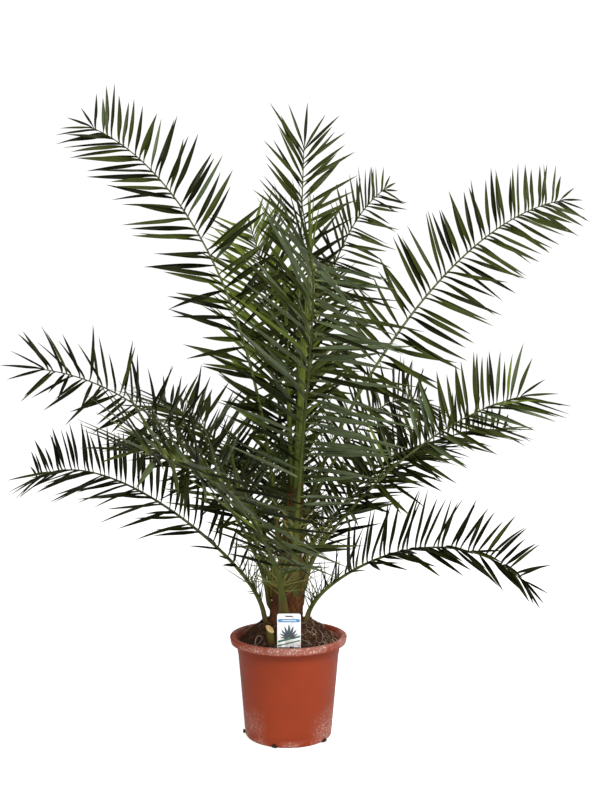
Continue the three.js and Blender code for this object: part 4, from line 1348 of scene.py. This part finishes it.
class PALM_OT_stage(bpy.types.Operator):
    """Lay the studio floor, light it softly and set up the camera"""

    bl_idname = "palm.stage"
    bl_label = "Stage"

    def execute(self, context):
        scene, colours, sizes = context.scene, context.scene.palm_colours, context.scene.palm_sizes
        scene.view_settings.view_transform = "Standard"
        material, shader = start_material("back-lit studio floor", 0.9)
        shader.inputs["Base Color"].default_value = (*colours.floor, 1)
        shader.inputs["Emission Color"].default_value = (1, 1, 1, 1)
        seen = add_node(material, "LightPath").outputs["Is Camera Ray"]
        plug(material, shader, "Emission Strength", ramp(material, seen, 0.0, 1.0, 0.0, 0.75))
        corners = np.array([[-1, -1, 0], [1, -1, 0], [1, 1, 0], [-1, 1, 0]]) * FLOOR_REACH
        mesh_piece("studio_floor", corners, [np.array([[0, 1, 2, 3]])], material)

        world = bpy.data.worlds.new("studio")
        world.use_nodes = True
        sky = world.node_tree.nodes["Background"]
        sky.inputs["Color"].default_value = (1, 1, 1, 1)
        # the backdrop is lit to white for the camera, and gives less light than that to the palm
        seen = add_node(world, "LightPath").outputs["Is Camera Ray"]
        plug(world, sky, "Strength", ramp(world, seen, 0.0, 1.0, 0.4, 1.05))
        scene.world = world
        # name, place and target in metres, size across in metres, power in watts
        self.softbox("key", (0.5, -2.8, 3.4), (0, 0, 0.7), 1.3, 170)
        self.softbox("fill", (2.8, -1.6, 2.2), (0, 0, 0.6), 1.6, 30)

        camera = bpy.data.objects.new("camera", bpy.data.cameras.new("camera"))
        camera.data.lens = CAMERA_LENS
        camera.data.sensor_width = CAMERA_SENSOR
        camera.location = (CAMERA_SIDEWAYS * MM, -sizes.camera_distance, sizes.camera_height)
        camera.rotation_euler = (np.pi / 2, 0, 0)
        scene.collection.objects.link(camera)
        scene.camera = camera
        return {"FINISHED"}

    def softbox(self, name, place, target, size, power):
        """A round area light that points from its place at a target."""
        light = bpy.data.lights.new(name, "AREA")
        light.shape = "DISK"
        light.size = size
        light.energy = power
        made = bpy.data.objects.new(name, light)
        x, y, z = np.subtract(target, place)
        made.location = place
        made.rotation_euler = (np.arctan2(np.hypot(x, y), -z), 0, np.arctan2(-x, y))
        bpy.context.scene.collection.objects.link(made)


# ---- Add-on -------------------------------------------------------------------------------------

OPERATORS = (
    PALM_OT_pot,
    PALM_OT_compost,
    PALM_OT_trunk,
    PALM_OT_ribs,
    PALM_OT_leaflets,
    PALM_OT_spines,
    PALM_OT_spears,
    PALM_OT_label,
    PALM_OT_stub,
    PALM_OT_stage,
)


class PALM_PT_panel(bpy.types.Panel):
    """Lists the palm's sizes, colours and builders"""

    bl_idname = "PALM_PT_panel"
    bl_label = "Potted date palm"
    bl_space_type = "VIEW_3D"
    bl_region_type = "UI"
    bl_category = "Palm"

    def draw(self, context):
        for group in (context.scene.palm_sizes, context.scene.palm_colours):
            box = self.layout.box()
            for key in group.__annotations__:
                box.prop(group, key)
        for operator in OPERATORS:
            self.layout.operator(operator.bl_idname)


CLASSES = (PalmColours, PalmSizes, *OPERATORS, PALM_PT_panel)


def register():
    for cls in CLASSES:
        bpy.utils.register_class(cls)
    bpy.types.Scene.palm_sizes = bpy.props.PointerProperty(type=PalmSizes)
    bpy.types.Scene.palm_colours = bpy.props.PointerProperty(type=PalmColours)


def unregister():
    del bpy.types.Scene.palm_colours
    del bpy.types.Scene.palm_sizes
    for cls in reversed(CLASSES):
        bpy.utils.unregister_class(cls)


def main():
    """Builds the palm and its stage."""
    register()
    for operator in OPERATORS:
        group, name = operator.bl_idname.split(".")
        getattr(getattr(bpy.ops, group), name)()


if __name__ == "__main__":
    main()
